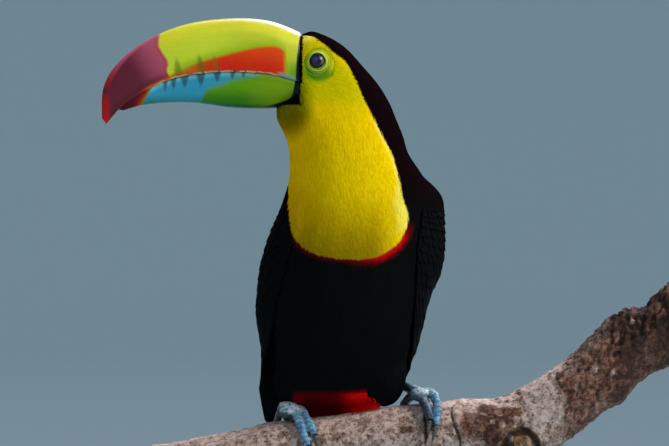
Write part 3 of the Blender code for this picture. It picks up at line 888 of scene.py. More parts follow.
def wing_grid(side):
    """Reads the outer surface of a CAD wing by rays that come in level from outside."""
    node = f"wing_{side}"
    wing = Surface(frame["nodes"][node])
    low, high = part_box(node)
    outside = 150.0
    heights = np.linspace(high.z / MM - 0.6, low.z / MM + 0.6, 60)
    angles = np.arange(-70.0, 118.0, 1.5)
    turns = np.radians(angles if side == "left" else 180.0 - angles)
    out = np.stack([np.cos(turns), np.sin(turns), np.zeros(len(turns))], axis=1)
    edges, hits = [], []
    for height in heights:
        ring = crossings("trunk", 2, min(height, 350.0))
        middle = np.append((ring.min(axis=0) + ring.max(axis=0))[:2] / 2, height)
        origins = middle + outside * out
        reach = wing.hit(origins, -out, outside + 50.0)
        met = np.flatnonzero(np.isfinite(reach))
        edges.append((angles[met[0]] + 0.8, angles[met[-1]] - 0.8))
        hits.append((met, origins[met] - out[met] * reach[met][:, None]))
    edges = np.array(edges)
    kernel = np.ones(5) / 5
    padded = np.pad(edges, ((2, 2), (0, 0)), mode="edge")
    edges = np.stack([np.convolve(padded[:, i], kernel, "valid") for i in (0, 1)], axis=1)
    rows = []
    for (first, last), (met, found) in zip(edges, hits):
        wanted = np.linspace(first, last, 25)
        rows.append(np.stack([np.interp(wanted, angles[met], found[:, k]) for k in range(3)], axis=1))
    if side == "right":
        heights = np.append(heights, heights[-1] - np.array((1.5, 3.0, 4.5)))
        rows += [rows[-1] + drop for drop in ((0.6, 0, -1.5), (1.2, 0, -3.0), (1.8, 0, -4.5))]
    rows = np.array(rows)
    full = int(np.abs(heights - heights[-1] - 17.0).argmin())
    for i in range(full + 1, len(rows)):
        widened = rows[full] + rows[i][0] - rows[full][0]
        rows[i] = 0.15 * rows[i] + 0.85 * np.where([True, True, False], widened, rows[i])
    return WingGrid(heights, rows, (1.0 if side == "left" else -1.0, 0.0, 0.0))


def tail_grid():
    """Reads the back of the CAD tail by rays that come in level from behind."""
    tail = Surface(frame["nodes"]["tail"])
    low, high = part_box("tail")
    columns, behind = 21, 200.0
    heights = np.linspace(high.z / MM - 8.0, low.z / MM + 0.4, 50)
    rows = []
    for height in heights:
        ring = crossings("tail", 2, height)
        left, right = ring[:, 0].min() + 0.4, ring[:, 0].max() - 0.4
        xs = np.linspace(right, left, columns)
        origins = np.stack([xs, np.full(columns, behind), np.full(columns, height)], axis=1)
        forward = np.tile((0.0, -1.0, 0.0), (columns, 1))
        reach = tail.hit(origins, forward, 2 * behind)
        met = np.isfinite(reach)
        ys = np.interp(-xs, -xs[met], behind - reach[met])
        rows.append(np.stack([xs, ys, origins[:, 2]], axis=1))
    return WingGrid(heights, np.array(rows), (0.0, 1.0, 0.0))


# ---------------------------------------------------------------- the skin


def over_wing(points):
    """True where the bib's feathers lie over the front edge of the wing."""
    return (yellow_depth(points) > -2.0) & (points[:, 1] < FRONT_BACK_Y)


def coat_depth(points, under_wing):
    """How far the skin lies inside the outline of the coat."""
    x, _, z = points.T
    depth = between(COAT_BY_HEIGHT, z)[3] + 0.1
    depth = np.where(under_wing, 2.7, depth)
    near_bill = smooth(x, -47.0, -54.0) * smooth(z, 396.0, 402.0)
    depth = depth * (1 - 0.55 * near_bill)
    shoulder = smooth(np.abs(x + 22.0), 28.0, 40.0) * smooth(z, 330.0, 346.0) * smooth(z, 374.0, 358.0)
    flank = smooth(x, 0.0, 10.0) * smooth(z, 222.0, 234.0) * smooth(z, 262.0, 246.0)
    depth = depth - np.where(x > -22.0, 2.2, 0.5) * shoulder - 1.8 * flank
    bare = bare_share(points)
    return depth * (1 - bare) + 0.75 * bare


def body_skin():
    """Trunk, neck, head, thighs and the upper wings as one closed skin, before the coat."""
    pieces = []
    for node in ("trunk", "neck", "head", "thigh_left", "thigh_right", "wing_left", "wing_right"):
        piece = cad_copy(node)
        if node.startswith("wing"):
            edit(piece)
            bpy.ops.mesh.select_all(action="SELECT")
            cut = (0, 0, MM * WING_SKIN_BOTTOM)
            bpy.ops.mesh.bisect(plane_co=cut, plane_no=(0, 0, 1), use_fill=True, clear_inner=True)
            leave_edit()
        pieces.append(piece)
    for side in EYES:
        plug = cad_copy(f"eye_{side}")
        points = points_of(plug)
        points[:, 1] = np.clip(points[:, 1], MIDDLE_Y - EYE_PLUG_OUT, MIDDLE_Y + EYE_PLUG_OUT)
        set_points(plug, points)
        pieces.append(plug)
    for piece in pieces:
        apply(piece, "DISPLACE", strength=MM * SEAM_CLOSE, mid_level=0.0)
    skin = join(pieces)
    apply(skin, "REMESH", mode="VOXEL", voxel_size=MM * SKIN_VOXEL)
    apply(skin, "SMOOTH", factor=0.5, iterations=8)
    middles = face_middles(skin)
    choose_faces(skin, (middles[:, 2] > 330.0) & (middles[:, 2] < 366.0))
    bpy.ops.mesh.vertices_smooth(factor=0.5, repeat=28)
    leave_edit()
    return skin


def near_eyes(skin, radius):
    """True for the faces within a radius of either eye's middle, seen from the side."""
    beside, above, on_side = eye_offset(face_middles(skin))
    return (np.hypot(beside, above) < radius) & on_side


def sculpt_skin(skin):
    """Sinks the skin by the depth of the coat, and shapes lids and folds round the eyes."""
    for _ in range(2):
        choose_faces(skin, near_eyes(skin, 12.5))
        bpy.ops.mesh.subdivide(number_cuts=1, smoothness=0.0)
        leave_edit()
    choose_faces(skin, near_eyes(skin, 12.0))
    bpy.ops.mesh.vertices_smooth(factor=0.5, repeat=30)
    leave_edit()
    points, normals = points_of(skin), normals_of(skin)
    wings = [Surface(frame["nodes"][f"wing_{side}"]) for side in ("left", "right")]
    near = (points[:, 2] > WING_SKIN_BOTTOM - 4.0) & (points[:, 2] < SHOULDER_HEIGHT)
    under = np.zeros(len(points), bool)
    for wing in wings:
        reach = wing.hit(points[near] - 1.5 * normals[near], normals[near], 9.0)
        under[near] |= np.isfinite(reach)
    under &= ~over_wing(points)
    points = points - normals * coat_depth(points, under)[:, None]
    x, y, z = points.T
    behind_bill = smooth(x, -53.4, -54.8) * smooth(z, 402.4, 404.0) * smooth(z, 428.0, 424.0)
    points[:, 1] += behind_bill * (np.clip(y, -11.0, -8.0) - y)
    points[:, 0] -= 1.2 * smooth(x, -50.5, -53.0) * smooth(z, 402.0, 406.0)
    beside, above, on_side = eye_offset(points)
    distance = np.hypot(beside, above * 1.03)
    turn = np.arctan2(above, -beside)
    lid = 0.8 * hump(distance, 6.05, 0.5)
    outer_lid = 0.3 * hump(distance, 7.4, 0.5) * (0.75 - 0.25 * np.sin(turn))
    crease = -0.5 * hump(distance, 8.3, 0.4) * (0.55 + 0.45 * np.cos(turn - 0.5))
    orbit = 0.45 * hump(distance, 9.8, 1.3) * (0.6 - 0.4 * np.sin(turn))
    wrinkles = 0.07 * np.sin(distance * 6.5 + 1.5 * np.sin(3 * turn)) * smooth(distance, 7.6, 8.6)
    wrinkles = wrinkles * bare_share(points)
    fold = (lid + outer_lid + crease + orbit + wrinkles) * on_side
    points[:, 1] += np.sign(points[:, 1] - MIDDLE_Y) * fold
    set_points(skin, points)


def branch_middle(x):
    """The middle of the branch where a plane square to X cuts it."""
    ring = crossings("perch", 0, x)
    return (ring.min(axis=0) + ring.max(axis=0)) / 2


def close_on_claws(points, side):
    """Narrows the end of each toe and draws its rim forward over the root of the claw."""
    for number in range(1, 5):
        claw = points_of(frame["nodes"][f"claw_{side}_{number}"])
        root = claw[claw[:, 2] > claw[:, 2].max() - 0.9].mean(axis=0)
        next_ring = claw[np.abs(claw[:, 2] - claw[:, 2].max() + 3.0) < 0.9].mean(axis=0)
        heading = unit(next_ring - root)
        ahead = (points - root) @ heading
        beside = points - root - ahead[:, None] * heading
        radius = np.maximum(np.linalg.norm(beside, axis=1), 1e-6)
        near = (radius < 4.5) * smooth(ahead, -3.5, -0.3) * (ahead < 2.0)
        slim = 1 - near * (1 - np.minimum(radius, 2.45) / radius)
        forward = 1.1 * near**2 * smooth(radius, 0.8, 2.0)
        points = root + (ahead + forward)[:, None] * heading + beside * slim[:, None]
    return points


def foot_skin(side):
    """A bare leg and its toes, with scutes across the upper sides."""
    foot = cad_copy(f"foot_{side}")
    place, size = FOOT_PADS[side]
    bpy.ops.mesh.primitive_uv_sphere_add(
        segments=32, ring_count=16, location=MM * np.array(place), scale=MM * np.array(size)
    )
    foot = join([foot, settle(bpy.context.object, f"pad_{side}")])
    apply(foot, "REMESH", mode="VOXEL", voxel_size=MM * FOOT_VOXEL)
    apply(foot, "SMOOTH", factor=0.5, iterations=5)
    points, normals = points_of(foot), normals_of(foot)
    if side == "right":
        points[:, 0] += 6.0 * smooth(points[:, 0], -68.0, -74.0) * smooth(points[:, 2], 188.0, 199.0)
    xs = np.linspace(points[:, 0].min(), points[:, 0].max(), 12)
    line = np.array([branch_middle(x) for x in xs])
    from_y = points[:, 1] - np.interp(points[:, 0], xs, line[:, 1])
    from_z = points[:, 2] - np.interp(points[:, 0], xs, line[:, 2])
    out = np.stack([np.zeros(len(points)), from_y, from_z], axis=1)
    reach = np.linalg.norm(out, axis=1)
    out = unit(out)
    round_way = np.arctan2(from_y, from_z) * (BRANCH_RADIUS + 4.0)
    on_leg = smooth(reach, 31.0, 36.0)
    leg_way = (points[:, 2] - 0.35 * points[:, 1]) * 1.1
    way = round_way * (1 - on_leg) + leg_way * on_leg
    facing = (normals * out).sum(axis=1) * (1 - on_leg) + (-normals[:, 1]) * on_leg
    upper = smooth(facing, 0.0, 0.45)
    wander = lumps_at(points / 5.0)
    beat = np.abs(np.sin(math.pi * (way + 1.6 * wander) / SCUTE_PITCH)) ** 0.6
    fine = lumps_at(points * 0.9)
    on_hub = smooth(np.linalg.norm((points - place) / np.array(size), axis=1), 1.5, 1.0)
    folds = np.abs(lumps_at(points / 2.6))
    beat = beat * (1 - 0.8 * on_hub) + 0.8 * on_hub * smooth(folds, 0.0, 0.22)
    bulge = 0.3 * upper * (beat - 0.6) + 0.2 * (1 - upper) * fine
    knuckle = 0.35 * np.sin(way / KNUCKLE_PITCH * 2 * math.pi) * smooth(reach, 33.0, 30.0)
    points = points + normals * (bulge + knuckle * upper)[:, None]
    set_points(foot, close_on_claws(points, side))
    # The left foot's share of hub has 2 added, by which the material tells it from the right's.
    hub = on_hub + (0.0 if side == "right" else 2.0)
    set_attribute(foot, "scute", np.stack([beat, upper, hub], axis=1))
    return foot


def lid_ring(side):
    """The thin pale rim of the eyelids, lying on the eyeball."""
    eye = EYES[side]
    outward = math.copysign(1.0, eye[1] - MIDDLE_Y)
    bpy.ops.mesh.primitive_torus_add(
        major_radius=MM * 5.8,
        minor_radius=MM * 0.42,
        major_segments=72,
        minor_segments=12,
        location=MM * (eye + np.array((0.0, outward * 3.75, 0.0))),
        rotation=(math.pi / 2, 0, 0),
    )
    ring = settle(bpy.context.object, f"lid_{side}")
    points = points_of(ring)
    beside, above, _ = eye_offset(points)
    corner = hump(beside, -5.5, 1.6) + hump(beside, 5.5, 1.6)
    points[:, 2] -= 0.3 * corner * above
    set_points(ring, points)
    return ring


def skin_material():
    """The skin under the coat, in the coat's colours, and the green skin round the eyes."""
    finish = Finish("plumage_skin", Roughness=0.55, Specular_IOR_Level=0.15)
    yellow, red, tinge = finish.numbers("mark")
    vector, x, _, z = finish.place()
    grain = finish.noise(vector, 2.2)
    colour = plumage_colour(finish, yellow, red, tinge, grain)
    bare = finish.number("bare")
    eye = EYES["left"]
    beside, above = x - eye[0], z - eye[2]
    distance = finish.join(beside, above, 0.0).size()
    # Painted shade: the bare skin darkens below the eye.
    green = finish.mix(finish.ramp(above, -9.5, -1.0), tint(92, 132, 0), tint(158, 178, 6))
    below = finish.ramp(distance, 6.6, 7.4) * finish.ramp(above, 0.0, -7.0)
    green = finish.mix(below * 0.6, green, tint(96, 142, 0))
    behind = finish.ramp(beside, -1.0, 5.0) * finish.ramp(above, -6.5, -1.5)
    green = finish.mix(behind, green, tint(170, 184, 6))
    before = finish.ramp(beside, -5.0, -9.0) * finish.ramp(above, -9.0, -2.0)
    green = finish.mix(before * 0.8, green, tint(176, 196, 22))
    outside = finish.ramp(distance, 7.8, 10.0) * finish.ramp(above + beside * 0.5, -5.0, 1.0)
    green = finish.mix(outside * 0.8, green, tint(208, 200, 8))
    rim = finish.ramp(abs(distance - 6.2), 0.55, 0.15)
    second = finish.ramp(abs(distance - 7.6), 0.35, 0.05) * finish.ramp(beside + above, 6.0, -3.0) * 0.6
    # A dark line along the fold round the eye, strongest in front: the painted shadow of the fold.
    crease = finish.ramp(abs(distance - 8.3), 0.55, 0.1) * finish.ramp(beside, 3.0, -6.0)
    green = finish.mix(rim.most(second), green, tint(196, 206, 84))
    green = finish.mix(crease * 0.8, green, tint(52, 62, 12))
    pores = finish.noise(vector, 0.55, 2.0)
    green = finish.shade(green, finish.ramp(pores, 0.3, 0.7, 0.88, 1.1))
    colour = finish.mix(bare, colour, green)
    finish.set("Base Color", colour)
    finish.set("Roughness", finish.ramp(bare, 0.0, 1.0, 0.65, 0.5))
    finish.bump(pores * bare + grain * (1 - bare), 0.35, 0.25)
    return finish.material


def foot_material():
    """Blue scaled skin: painted highlights on the upper edges and hubs, and grooves that are dark partly
    by painted shade; greener on the hub.
    """
    finish = Finish("scaled_skin", Roughness=0.42, Specular_IOR_Level=0.3)
    beat, upper, hub = finish.numbers("scute")
    vector, x, _, z = finish.place()
    blotch = finish.noise(vector, 5.0, 3.0)
    fine = finish.noise(vector, 1.4, 3.0)
    left = finish.ramp(hub, 1.4, 1.6)
    on_hub = hub - 2.0 * left
    plate = finish.mix(finish.ramp(blotch, 0.35, 0.65), tint(66, 112, 144), tint(104, 152, 180))
    grey = finish.mix(finish.ramp(fine, 0.34, 0.58), tint(74, 96, 112), tint(168, 190, 200))
    greenish = finish.ramp(x, -62.0, -69.0) * finish.ramp(z, 203.0, 208.0)
    grey = finish.mix(greenish * 0.7, grey, tint(150, 160, 118))
    plate = finish.mix(on_hub * 0.85, plate, grey)
    # A painted highlight on the upper edges of the scutes.
    ridge_highlight = finish.ramp(beat, 0.7, 0.98) * finish.ramp(fine, 0.46, 0.64)
    plate = finish.mix(ridge_highlight * 0.5, plate, tint(196, 212, 222))
    under = finish.mix(blotch, tint(30, 36, 42), tint(78, 90, 92))
    colour = finish.mix(upper, under, plate)
    # The grooves between scutes are darker: partly the skin's own colour, partly painted shade.
    groove = finish.ramp(beat, 0.5, 0.12) * upper
    colour = finish.mix(groove * 0.8, colour, tint(24, 38, 54))
    # Painted shade darkens the left foot's inner toe; the left leg is darkened as well.
    leg = finish.ramp(x, 21.0, 14.0) * finish.ramp(z, 205.0, 211.0) * left
    inner = finish.ramp(x + (z - 212.0) * 0.36, 27.4, 26.2) * finish.ramp(z, 213.0, 209.0) * left
    colour = finish.mix(leg.most(inner) * 0.93, colour, tint(34, 38, 42))
    # Painted shade on the lower left of the left foot's hub.
    hub_shade = left * finish.ramp(x, 29.0, 23.0) * finish.ramp(z, 217.5, 214.0)
    colour = finish.mix(hub_shade * 0.8, colour, tint(52, 64, 78))
    # A painted highlight on the right foot's hub.
    shine = finish.ramp(finish.join(x + 61.5, z - 204.0, 0.0).size() + fine * 2.0, 3.6, 1.6)
    colour = finish.mix(shine * (1 - left) * 0.8, colour, tint(206, 210, 224))
    # A painted highlight on the top of the right foot's hub.
    hub_top_highlight = finish.ramp(z + (x + 66.0) * (x + 66.0) * 0.03, 206.6, 208.6) * (1 - left) * on_hub
    colour = finish.mix(hub_top_highlight * finish.ramp(fine, 0.3, 0.5) * 0.75, colour, tint(206, 214, 206))
    # A painted highlight on the top of the left foot's hub and knuckles.
    knuckle_highlight = left * finish.ramp(z, 213.5, 217.0) * finish.ramp(x, 16.0, 20.0)
    knuckle_highlight = knuckle_highlight * finish.ramp(fine, 0.4, 0.5)
    colour = finish.mix(knuckle_highlight * 0.3, colour, tint(206, 208, 222))
    grain = finish.cells(vector, 0.7, "DISTANCE_TO_EDGE")
    colour = finish.shade(colour, finish.ramp(grain, 0.0, 0.12, 0.82, 1.03))
    finish.set("Base Color", colour)
    finish.set("Roughness", finish.ramp(fine, 0.3, 0.7, 0.5, 0.34))
    finish.bump(finish.ramp(grain, 0.0, 0.2), 0.35, 0.15)
    return finish.material


def make_skin():
    """The one skin of the whole bird, with lids at the eyes and bare scaled feet."""
    body = body_skin()
    sculpt_skin(body)
    points = points_of(body)
    set_attribute(body, "mark", marks(points))
    set_attribute(body, "bare", bare_share(points))
    lids = [lid_ring(side) for side in EYES]
    for lid in lids:
        set_attribute(lid, "bare", np.ones(len(lid.data.vertices)))
    feet = [foot_skin(side) for side in ("left", "right")]
    for piece in (body, *lids):
        piece.data.materials.append(MATERIALS["skin"])
    for foot in feet:
        foot.data.materials.append(MATERIALS["foot"])
    skin = settle(join([body, *lids, *feet]), "skin")
    edit(skin)
    bpy.ops.mesh.select_all(action="SELECT")
    bpy.ops.uv.smart_project(angle_limit=math.radians(75), island_margin=0.001)
    leave_edit()
    skin.data.uv_layers[0].name = "OFBake"
    skin.data.shade_smooth()
    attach(skin, "root")
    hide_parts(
        "trunk", "neck", "head", "wing_left", "wing_right", "thigh_left", "thigh_right",
        "foot_left", "foot_right",
    )
    return skin


# ---------------------------------------------------------------- the coat's material


def plumage_colour(finish, yellow, red, tinge, grain):
    """The coat's colours from its markings, the same for skin and feathers, with painted shade and
    highlights in the yellow.
    """
    _, x, _, z = finish.place()
    black = finish.mix(finish.ramp(z, 318.0, 360.0), tint(12, 13, 14), tint(15, 6, 8))
    black = finish.mix(finish.ramp(tinge, -0.45, -0.9), black, tint(228, 224, 212))
    gold = finish.mix(finish.ramp(grain, 0.2, 0.8), tint(228, 188, 3), tint(237, 199, 5))
    # An orange tinge on the shaded left of the neck: partly the bird's own orange, partly the painted warm
    # hue of shade.
    orange = finish.ramp(x, -24.0, -62.0) * finish.ramp(z, 412.0, 388.0)
    gold = finish.mix(orange * 0.6, gold, tint(226, 158, 0))
    # Painted shade: the lower bib is darker, as if the breast turned away from the light.
    deep = finish.ramp(z, 356.0, 302.0) * finish.ramp(x, 14.0, -10.0)
    gold = finish.mix(deep * 0.95, gold, tint(140, 112, 5))
    # The painted shadow of the bill on the throat.
    beside, under = (x + 63.0) / 13.0, (z - 402.0) / 17.0
    throat = finish.ramp(beside * beside + under * under, 2.2, 0.2)
    gold = finish.mix(throat * 0.9, gold, tint(96, 74, 2))
    gold = finish.mix(finish.ramp(tinge, 0.0, 1.0), gold, tint(136, 168, 4))
    # A painted highlight on the lit right edge of the bib, where the tone is below 0.
    gold = finish.mix(finish.ramp(tinge, -0.04, -0.34) * 0.5, gold, tint(246, 240, 110))
    # A painted highlight on the forehead at the bill's base.
    forehead_highlight = finish.ramp(x, -42.0, -52.0) * finish.ramp(z, 442.0, 450.0)
    gold = finish.mix(forehead_highlight * 0.9, gold, tint(252, 244, 110))
    # The red darkens as its share falls; under the tail that darker red is painted shade.
    scarlet = finish.mix(finish.ramp(red, 0.35, 1.0), tint(96, 5, 10), tint(250, 16, 12))
    colour = finish.mix(finish.ramp(red, 0.05, 0.5), black, scarlet)
    return finish.mix(finish.ramp(yellow, -0.5, 0.8), colour, gold)


def feather_material(name, barbs):
    """Feathers with barbs that slant from the shaft; barbs is how many lie along one vane."""
    finish = Finish(name, Roughness=0.7, Specular_IOR_Level=0.0 if name == "small_feather" else 0.004)
    yellow, red, tinge = finish.numbers("mark")
    across, along, seed = finish.numbers("vane")
    colour = plumage_colour(finish, yellow, red, tinge, seed)
    lines = (along * barbs - abs(across) * barbs * 0.22 + seed * 7.0).wave()
    ragged = finish.noise(finish.join(across * 3.0, along * 5.0, seed * 40.0), 1.0, 2.0)
    tip = finish.ramp(along, 0.1, 0.8, 0.94, 1.02)
    tone = tip * finish.ramp(seed, 0.0, 1.0, 0.975, 1.025) * finish.ramp(lines, 0.0, 1.0, 0.97, 1.03)
    tone = tone * finish.ramp(ragged, 0.3, 0.7, 0.97, 1.03)
    shaft = finish.ramp(abs(across), 0.1, 0.03) * finish.ramp(along, 0.95, 0.6)
    finish.set("Base Color", finish.shade(colour, tone * (1 + 0.12 * shaft)))
    finish.set("Roughness", finish.ramp(lines, 0.0, 1.0, 0.7, 0.5))
    finish.bump(lines * 0.6 + shaft, 0.15 if name == "small_feather" else 0.3, 0.12)
    return finish.material


# ---------------------------------------------------------------- laying the coat


def on_thigh(points):
    """True on the black thighs, which hang in front of the red under the tail."""
    x, y, z = points.T
    thigh = np.zeros(len(points), bool)
    for node in ("thigh_left", "thigh_right"):
        low, high = (np.array(corner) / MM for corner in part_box(node))
        thigh |= ((points > low - 1) & (points < high + 1)).all(axis=1) & (y < -2.0)
    return thigh & ((x < -60.5) | ((x > -40.0) & (z > 226.0)) | (x > 0.93 * (218.0 - z) - 8.0))


def body_coat(skin):
    """The small feathers of head, neck and body, scattered once and parted by region."""
    surface = Surface(skin)
    uvs = np.empty(2 * len(skin.data.loops), np.float32)
    skin.data.uv_layers["OFBake"].uv.foreach_get("vector", uvs)
    uvs = uvs.reshape(-1, 2)
    slots = np.empty(len(skin.data.polygons), np.int32)
    skin.data.polygons.foreach_get("material_index", slots)
    owners = np.empty(len(skin.data.loop_triangles), np.int32)
    skin.data.loop_triangles.foreach_get("polygon_index", owners)
    feathered = slots[owners] == 0
    wings = [Surface(frame["nodes"][f"wing_{side}"]) for side in ("left", "right")]
    bill = Surface(frame["nodes"]["bill_upper"]), Surface(frame["nodes"]["bill_lower"])

    def wanted(middles, normals):
        keep = feathered & (bare_share(middles) < 0.5)
        low = middles[:, 2] < SHOULDER_HEIGHT
        for wing in wings:
            reach = wing.hit(middles[low] - 1.0 * normals[low], normals[low], 11.0)
            keep[low] &= ~np.isfinite(reach) | over_wing(middles[low])
        front = (middles[:, 0] < -50.0) & (middles[:, 2] > 398.0)
        for half in bill:
            reach = half.hit(middles[front] - 0.5 * normals[front], normals[front], 3.0)
            keep[front] &= ~np.isfinite(reach)
        keep &= ~((middles[:, 0] < -54.6) & (middles[:, 2] > 404.0))
        return keep.astype(float)

    def spacing(points):
        gap = between(COAT_BY_HEIGHT, points[:, 2])[0]
        behind = smooth(points[:, 1], 0.0, 20.0) * smooth(points[:, 2], 400.0, 360.0)
        return 0.8 * gap * (1 + 0.15 * behind) * np.where(on_thigh(points), 0.72, 1.0)

    roots, normals, faces, shares = surface.scatter(wanted, spacing)
    root_uvs = (uvs[surface.loops[faces]] * shares[:, :, None]).sum(axis=1)
    x, y, z = roots.T
    yellow = yellow_depth(roots) > -4.0
    thigh = on_thigh(roots)
    crissum = (z < CRISSUM_HEIGHT + 4.0) & ~thigh
    head = z > HEAD_HEIGHT
    front = y < FRONT_BACK_Y
    zones = {
        "coat_face": head & yellow,
        "coat_cap": head & ~yellow,
        "coat_throat": ~head & (z > NECK_HEIGHT) & yellow,
        "coat_nape": ~head & (z > NECK_HEIGHT) & ~yellow,
        "coat_bib": (z <= NECK_HEIGHT) & yellow,
        "coat_breast": (z <= NECK_HEIGHT) & ~yellow & front & ~thigh & ~crissum,
        "coat_mantle": (z <= NECK_HEIGHT) & ~yellow & ~front & ~thigh & ~crissum,
        "coat_thighs": thigh,
        "coat_under_tail": crissum,
    }
    small, large = Vane(4, SMALL_VANE), Vane(4, BODY_VANE)
    for name, chosen in zones.items():
        _, length, width, depth = between(COAT_BY_HEIGHT, z[chosen])
        if name == "coat_thighs":
            length, width = 0.75 * length, 0.75 * width
        beside, above, on_side = eye_offset(roots[chosen])
        by_eye = smooth(np.hypot(beside, above), 15.0, 9.0) * on_side
        by_bill = smooth(x[chosen], -46.0, -54.0) * (z[chosen] > 398.0)
        shrink = 1 - 0.4 * np.maximum(by_eye, by_bill)
        sizes = (length * shrink, width * shrink, depth * shrink)
        vane = small if name in ("coat_face", "coat_cap", "coat_throat", "coat_bib") else large
        thickness = 0.05 if vane is small else 0.07
        colours = plain_marks if name == "coat_thighs" else marks
        piece = lay_coat(
            name, vane, surface, roots[chosen], root_uvs[chosen], sizes, thickness, colours
        )
        slot = "yellow_feather" if name in ("coat_face", "coat_throat", "coat_bib") else "black_feather"
        dress(piece, "small_feather", slot)
    return surface, uvs


def lay_black(name, vane, places, surface, uvs, material, *nodes):
    """Makes one dressed piece of black feathers from their finished places."""
    roots = places[:, vane.station == 0].mean(axis=1)
    faces = surface.nearest(roots)[2]
    root_uvs = uvs[surface.loops[faces]].mean(axis=1)
    seeds = RANDOM.random(len(places))
    piece = vane.copies(name, places, seeds, plain_marks(places), root_uvs)
    dress(piece, material, "black_feather", *nodes)


def wing_feathers(side, surface, uvs):
    """Rows of coverts over the upper half of a folded wing, and the long quills under them."""
    grid = wing_grid(side)
    covert = Vane(8, BODY_VANE)
    quill = Vane(8, LONG_VANE)
    height = 344.0
    rows = []
    while height > 268.0:
        share = smooth(height, 345.0, 285.0)
        length, width, step = 9.0 + 19.0 * share, 5.0 + 5.0 * share, 2.8 + 5.4 * share
        span = float(np.interp(height, grid.heights[::-1], grid.spans[::-1]))
        count = max(3, int(span / (0.55 * width)))
        across = (np.arange(count) + 0.5 * (len(rows) % 2) + 0.25) / count
        same = (height, length, 0.5 * width / max(span, width))
        tops, lengths, halves = (np.full(count, value) for value in same)
        rows.append((tops, lengths, across, halves))
        height -= step
    top, length, across, half = (np.concatenate(values) for values in zip(*rows))
    count = len(top)
    bow = 9.0 * np.sin(math.pi * (0.15 + 0.85 * across)) * smooth(top, 350.0, 325.0)
    top = top + RANDOM.normal(0.0, 0.5, count) - bow
    length = length * RANDOM.uniform(0.92, 1.08, count)
    bottom = np.maximum(top - length, grid.heights[-1])
    across = across + RANDOM.normal(0.0, 0.004, count)
    sink = (np.full(count, 0.95), RANDOM.uniform(-0.8, -0.6, count))
    places = grid.lay(covert, top, bottom, (across, across), half, sink, 0.35, 0.12)
    places = places[~over_wing(places.mean(axis=1))]
    lay_black(f"coat_wing_{side}", covert, places, surface, uvs, "covert_feather")
    count = 13
    order = np.arange(count) / (count - 1)
    tips = np.interp(order, [0, 0.2, 0.4, 0.6, 0.85, 1.0], [0.88, 0.955, 0.99, 1.0, 1.0, 1.0])
    reach = grid.heights[0] - grid.heights[-1]
    bottom = grid.heights[0] - reach * tips
    top = np.full(count, 305.0) - 6.0 * order
    lead = 0.9 - 0.8 * order
    half = np.full(count, 0.21)
    sink = (np.full(count, 2.0), np.full(count, -1.4))
    across = (lead, lead + 0.03 * np.cos(3 * order))
    places = grid.lay(quill, top, bottom, across, half, sink, 1.5, 0.22)
    lay_black(f"quills_wing_{side}", quill, places, surface, uvs, "quill_feather", f"wing_{side}")


def tail_feathers(surface, uvs):
    """Ten tail quills: the middle pair lies uppermost, and each further pair under the last."""
    grid = tail_grid()
    quill = Vane(8, LONG_VANE)
    pairs = np.repeat(np.arange(5), 2)
    hand = np.tile((-1.0, 1.0), 5)
    start = 0.5 + hand * (0.07 + 0.07 * pairs)
    end = 0.5 + hand * (0.085 + 0.066 * pairs)
    top = np.full(len(pairs), grid.heights[0])
    bottom = grid.heights[-1] + 1.2 * pairs**1.6
    half = np.full(len(pairs), 0.165)
    sink = (0.8 + 0.9 * pairs, 0.1 + 0.9 * pairs + 0.3 * (hand > 0))
    places = grid.lay(quill, top, bottom, (start, end), half, sink, 0.0, 0.3)
    lay_black("quills_tail", quill, places, surface, uvs, "quill_feather", "tail")
    covert = Vane(8, BODY_VANE)
    six, five = np.linspace(0.02, 0.98, 6), np.linspace(0.1, 0.9, 5)
    across = np.tile(np.concatenate([six, five, six]), 2)
    top = np.tile(np.repeat((207.0, 200.0, 193.0), (6, 5, 6)), 2)
    count = len(top)
    inner = np.repeat((0.0, 6.0), count // 2)
    sink = (1.5 + inner, -0.4 + inner)
    half = np.full(count, 0.16)
    bottom = top - RANDOM.uniform(24.0, 30.0, count)
    places = grid.lay(covert, top, bottom, (across, across), half, sink, 0.0, 0.2)
    lay_black("coat_tail_base", covert, places, surface, uvs, "covert_feather")


# ---------------------------------------------------------------- bill, eyes and claws


def fine_copy(node, levels, crease_angle):
    """A copy of a CAD node with a finer surface; its sharp edges stay sharp."""
    made = cad_copy(node)
    edit(made)
    bpy.ops.mesh.select_all(action="SELECT")
    bpy.ops.mesh.tris_convert_to_quads(
        face_threshold=math.radians(30), shape_threshold=math.radians(60)
    )
    bpy.ops.mesh.select_all(action="DESELECT")
    bpy.context.tool_settings.mesh_select_mode = (False, True, False)
    bpy.ops.mesh.edges_select_sharp(sharpness=math.radians(crease_angle))
    bpy.ops.transform.edge_crease(value=0.85)
    leave_edit()
    apply(made, "SUBSURF", levels=levels, render_levels=levels)
    made.data.shade_smooth()
    return made


def bill_lines():
    """The bill's closing line, culmen and underside by x, read from its solids.

    In front of the lower half's tip the underside counts as 0.
    """
    xs = np.arange(-182.0, -54.6, 1.0)
    closing, culmen, underside = [], [], []
    for x in xs:
        ring = crossings("bill_upper", 0, x)
        closing.append(ring[:, 2].min())
        culmen.append(ring[:, 2].max())
        underside.append(crossings("bill_lower", 0, x)[:, 2].min() if x > -172.0 else 0.0)
    return xs, closing, culmen, underside


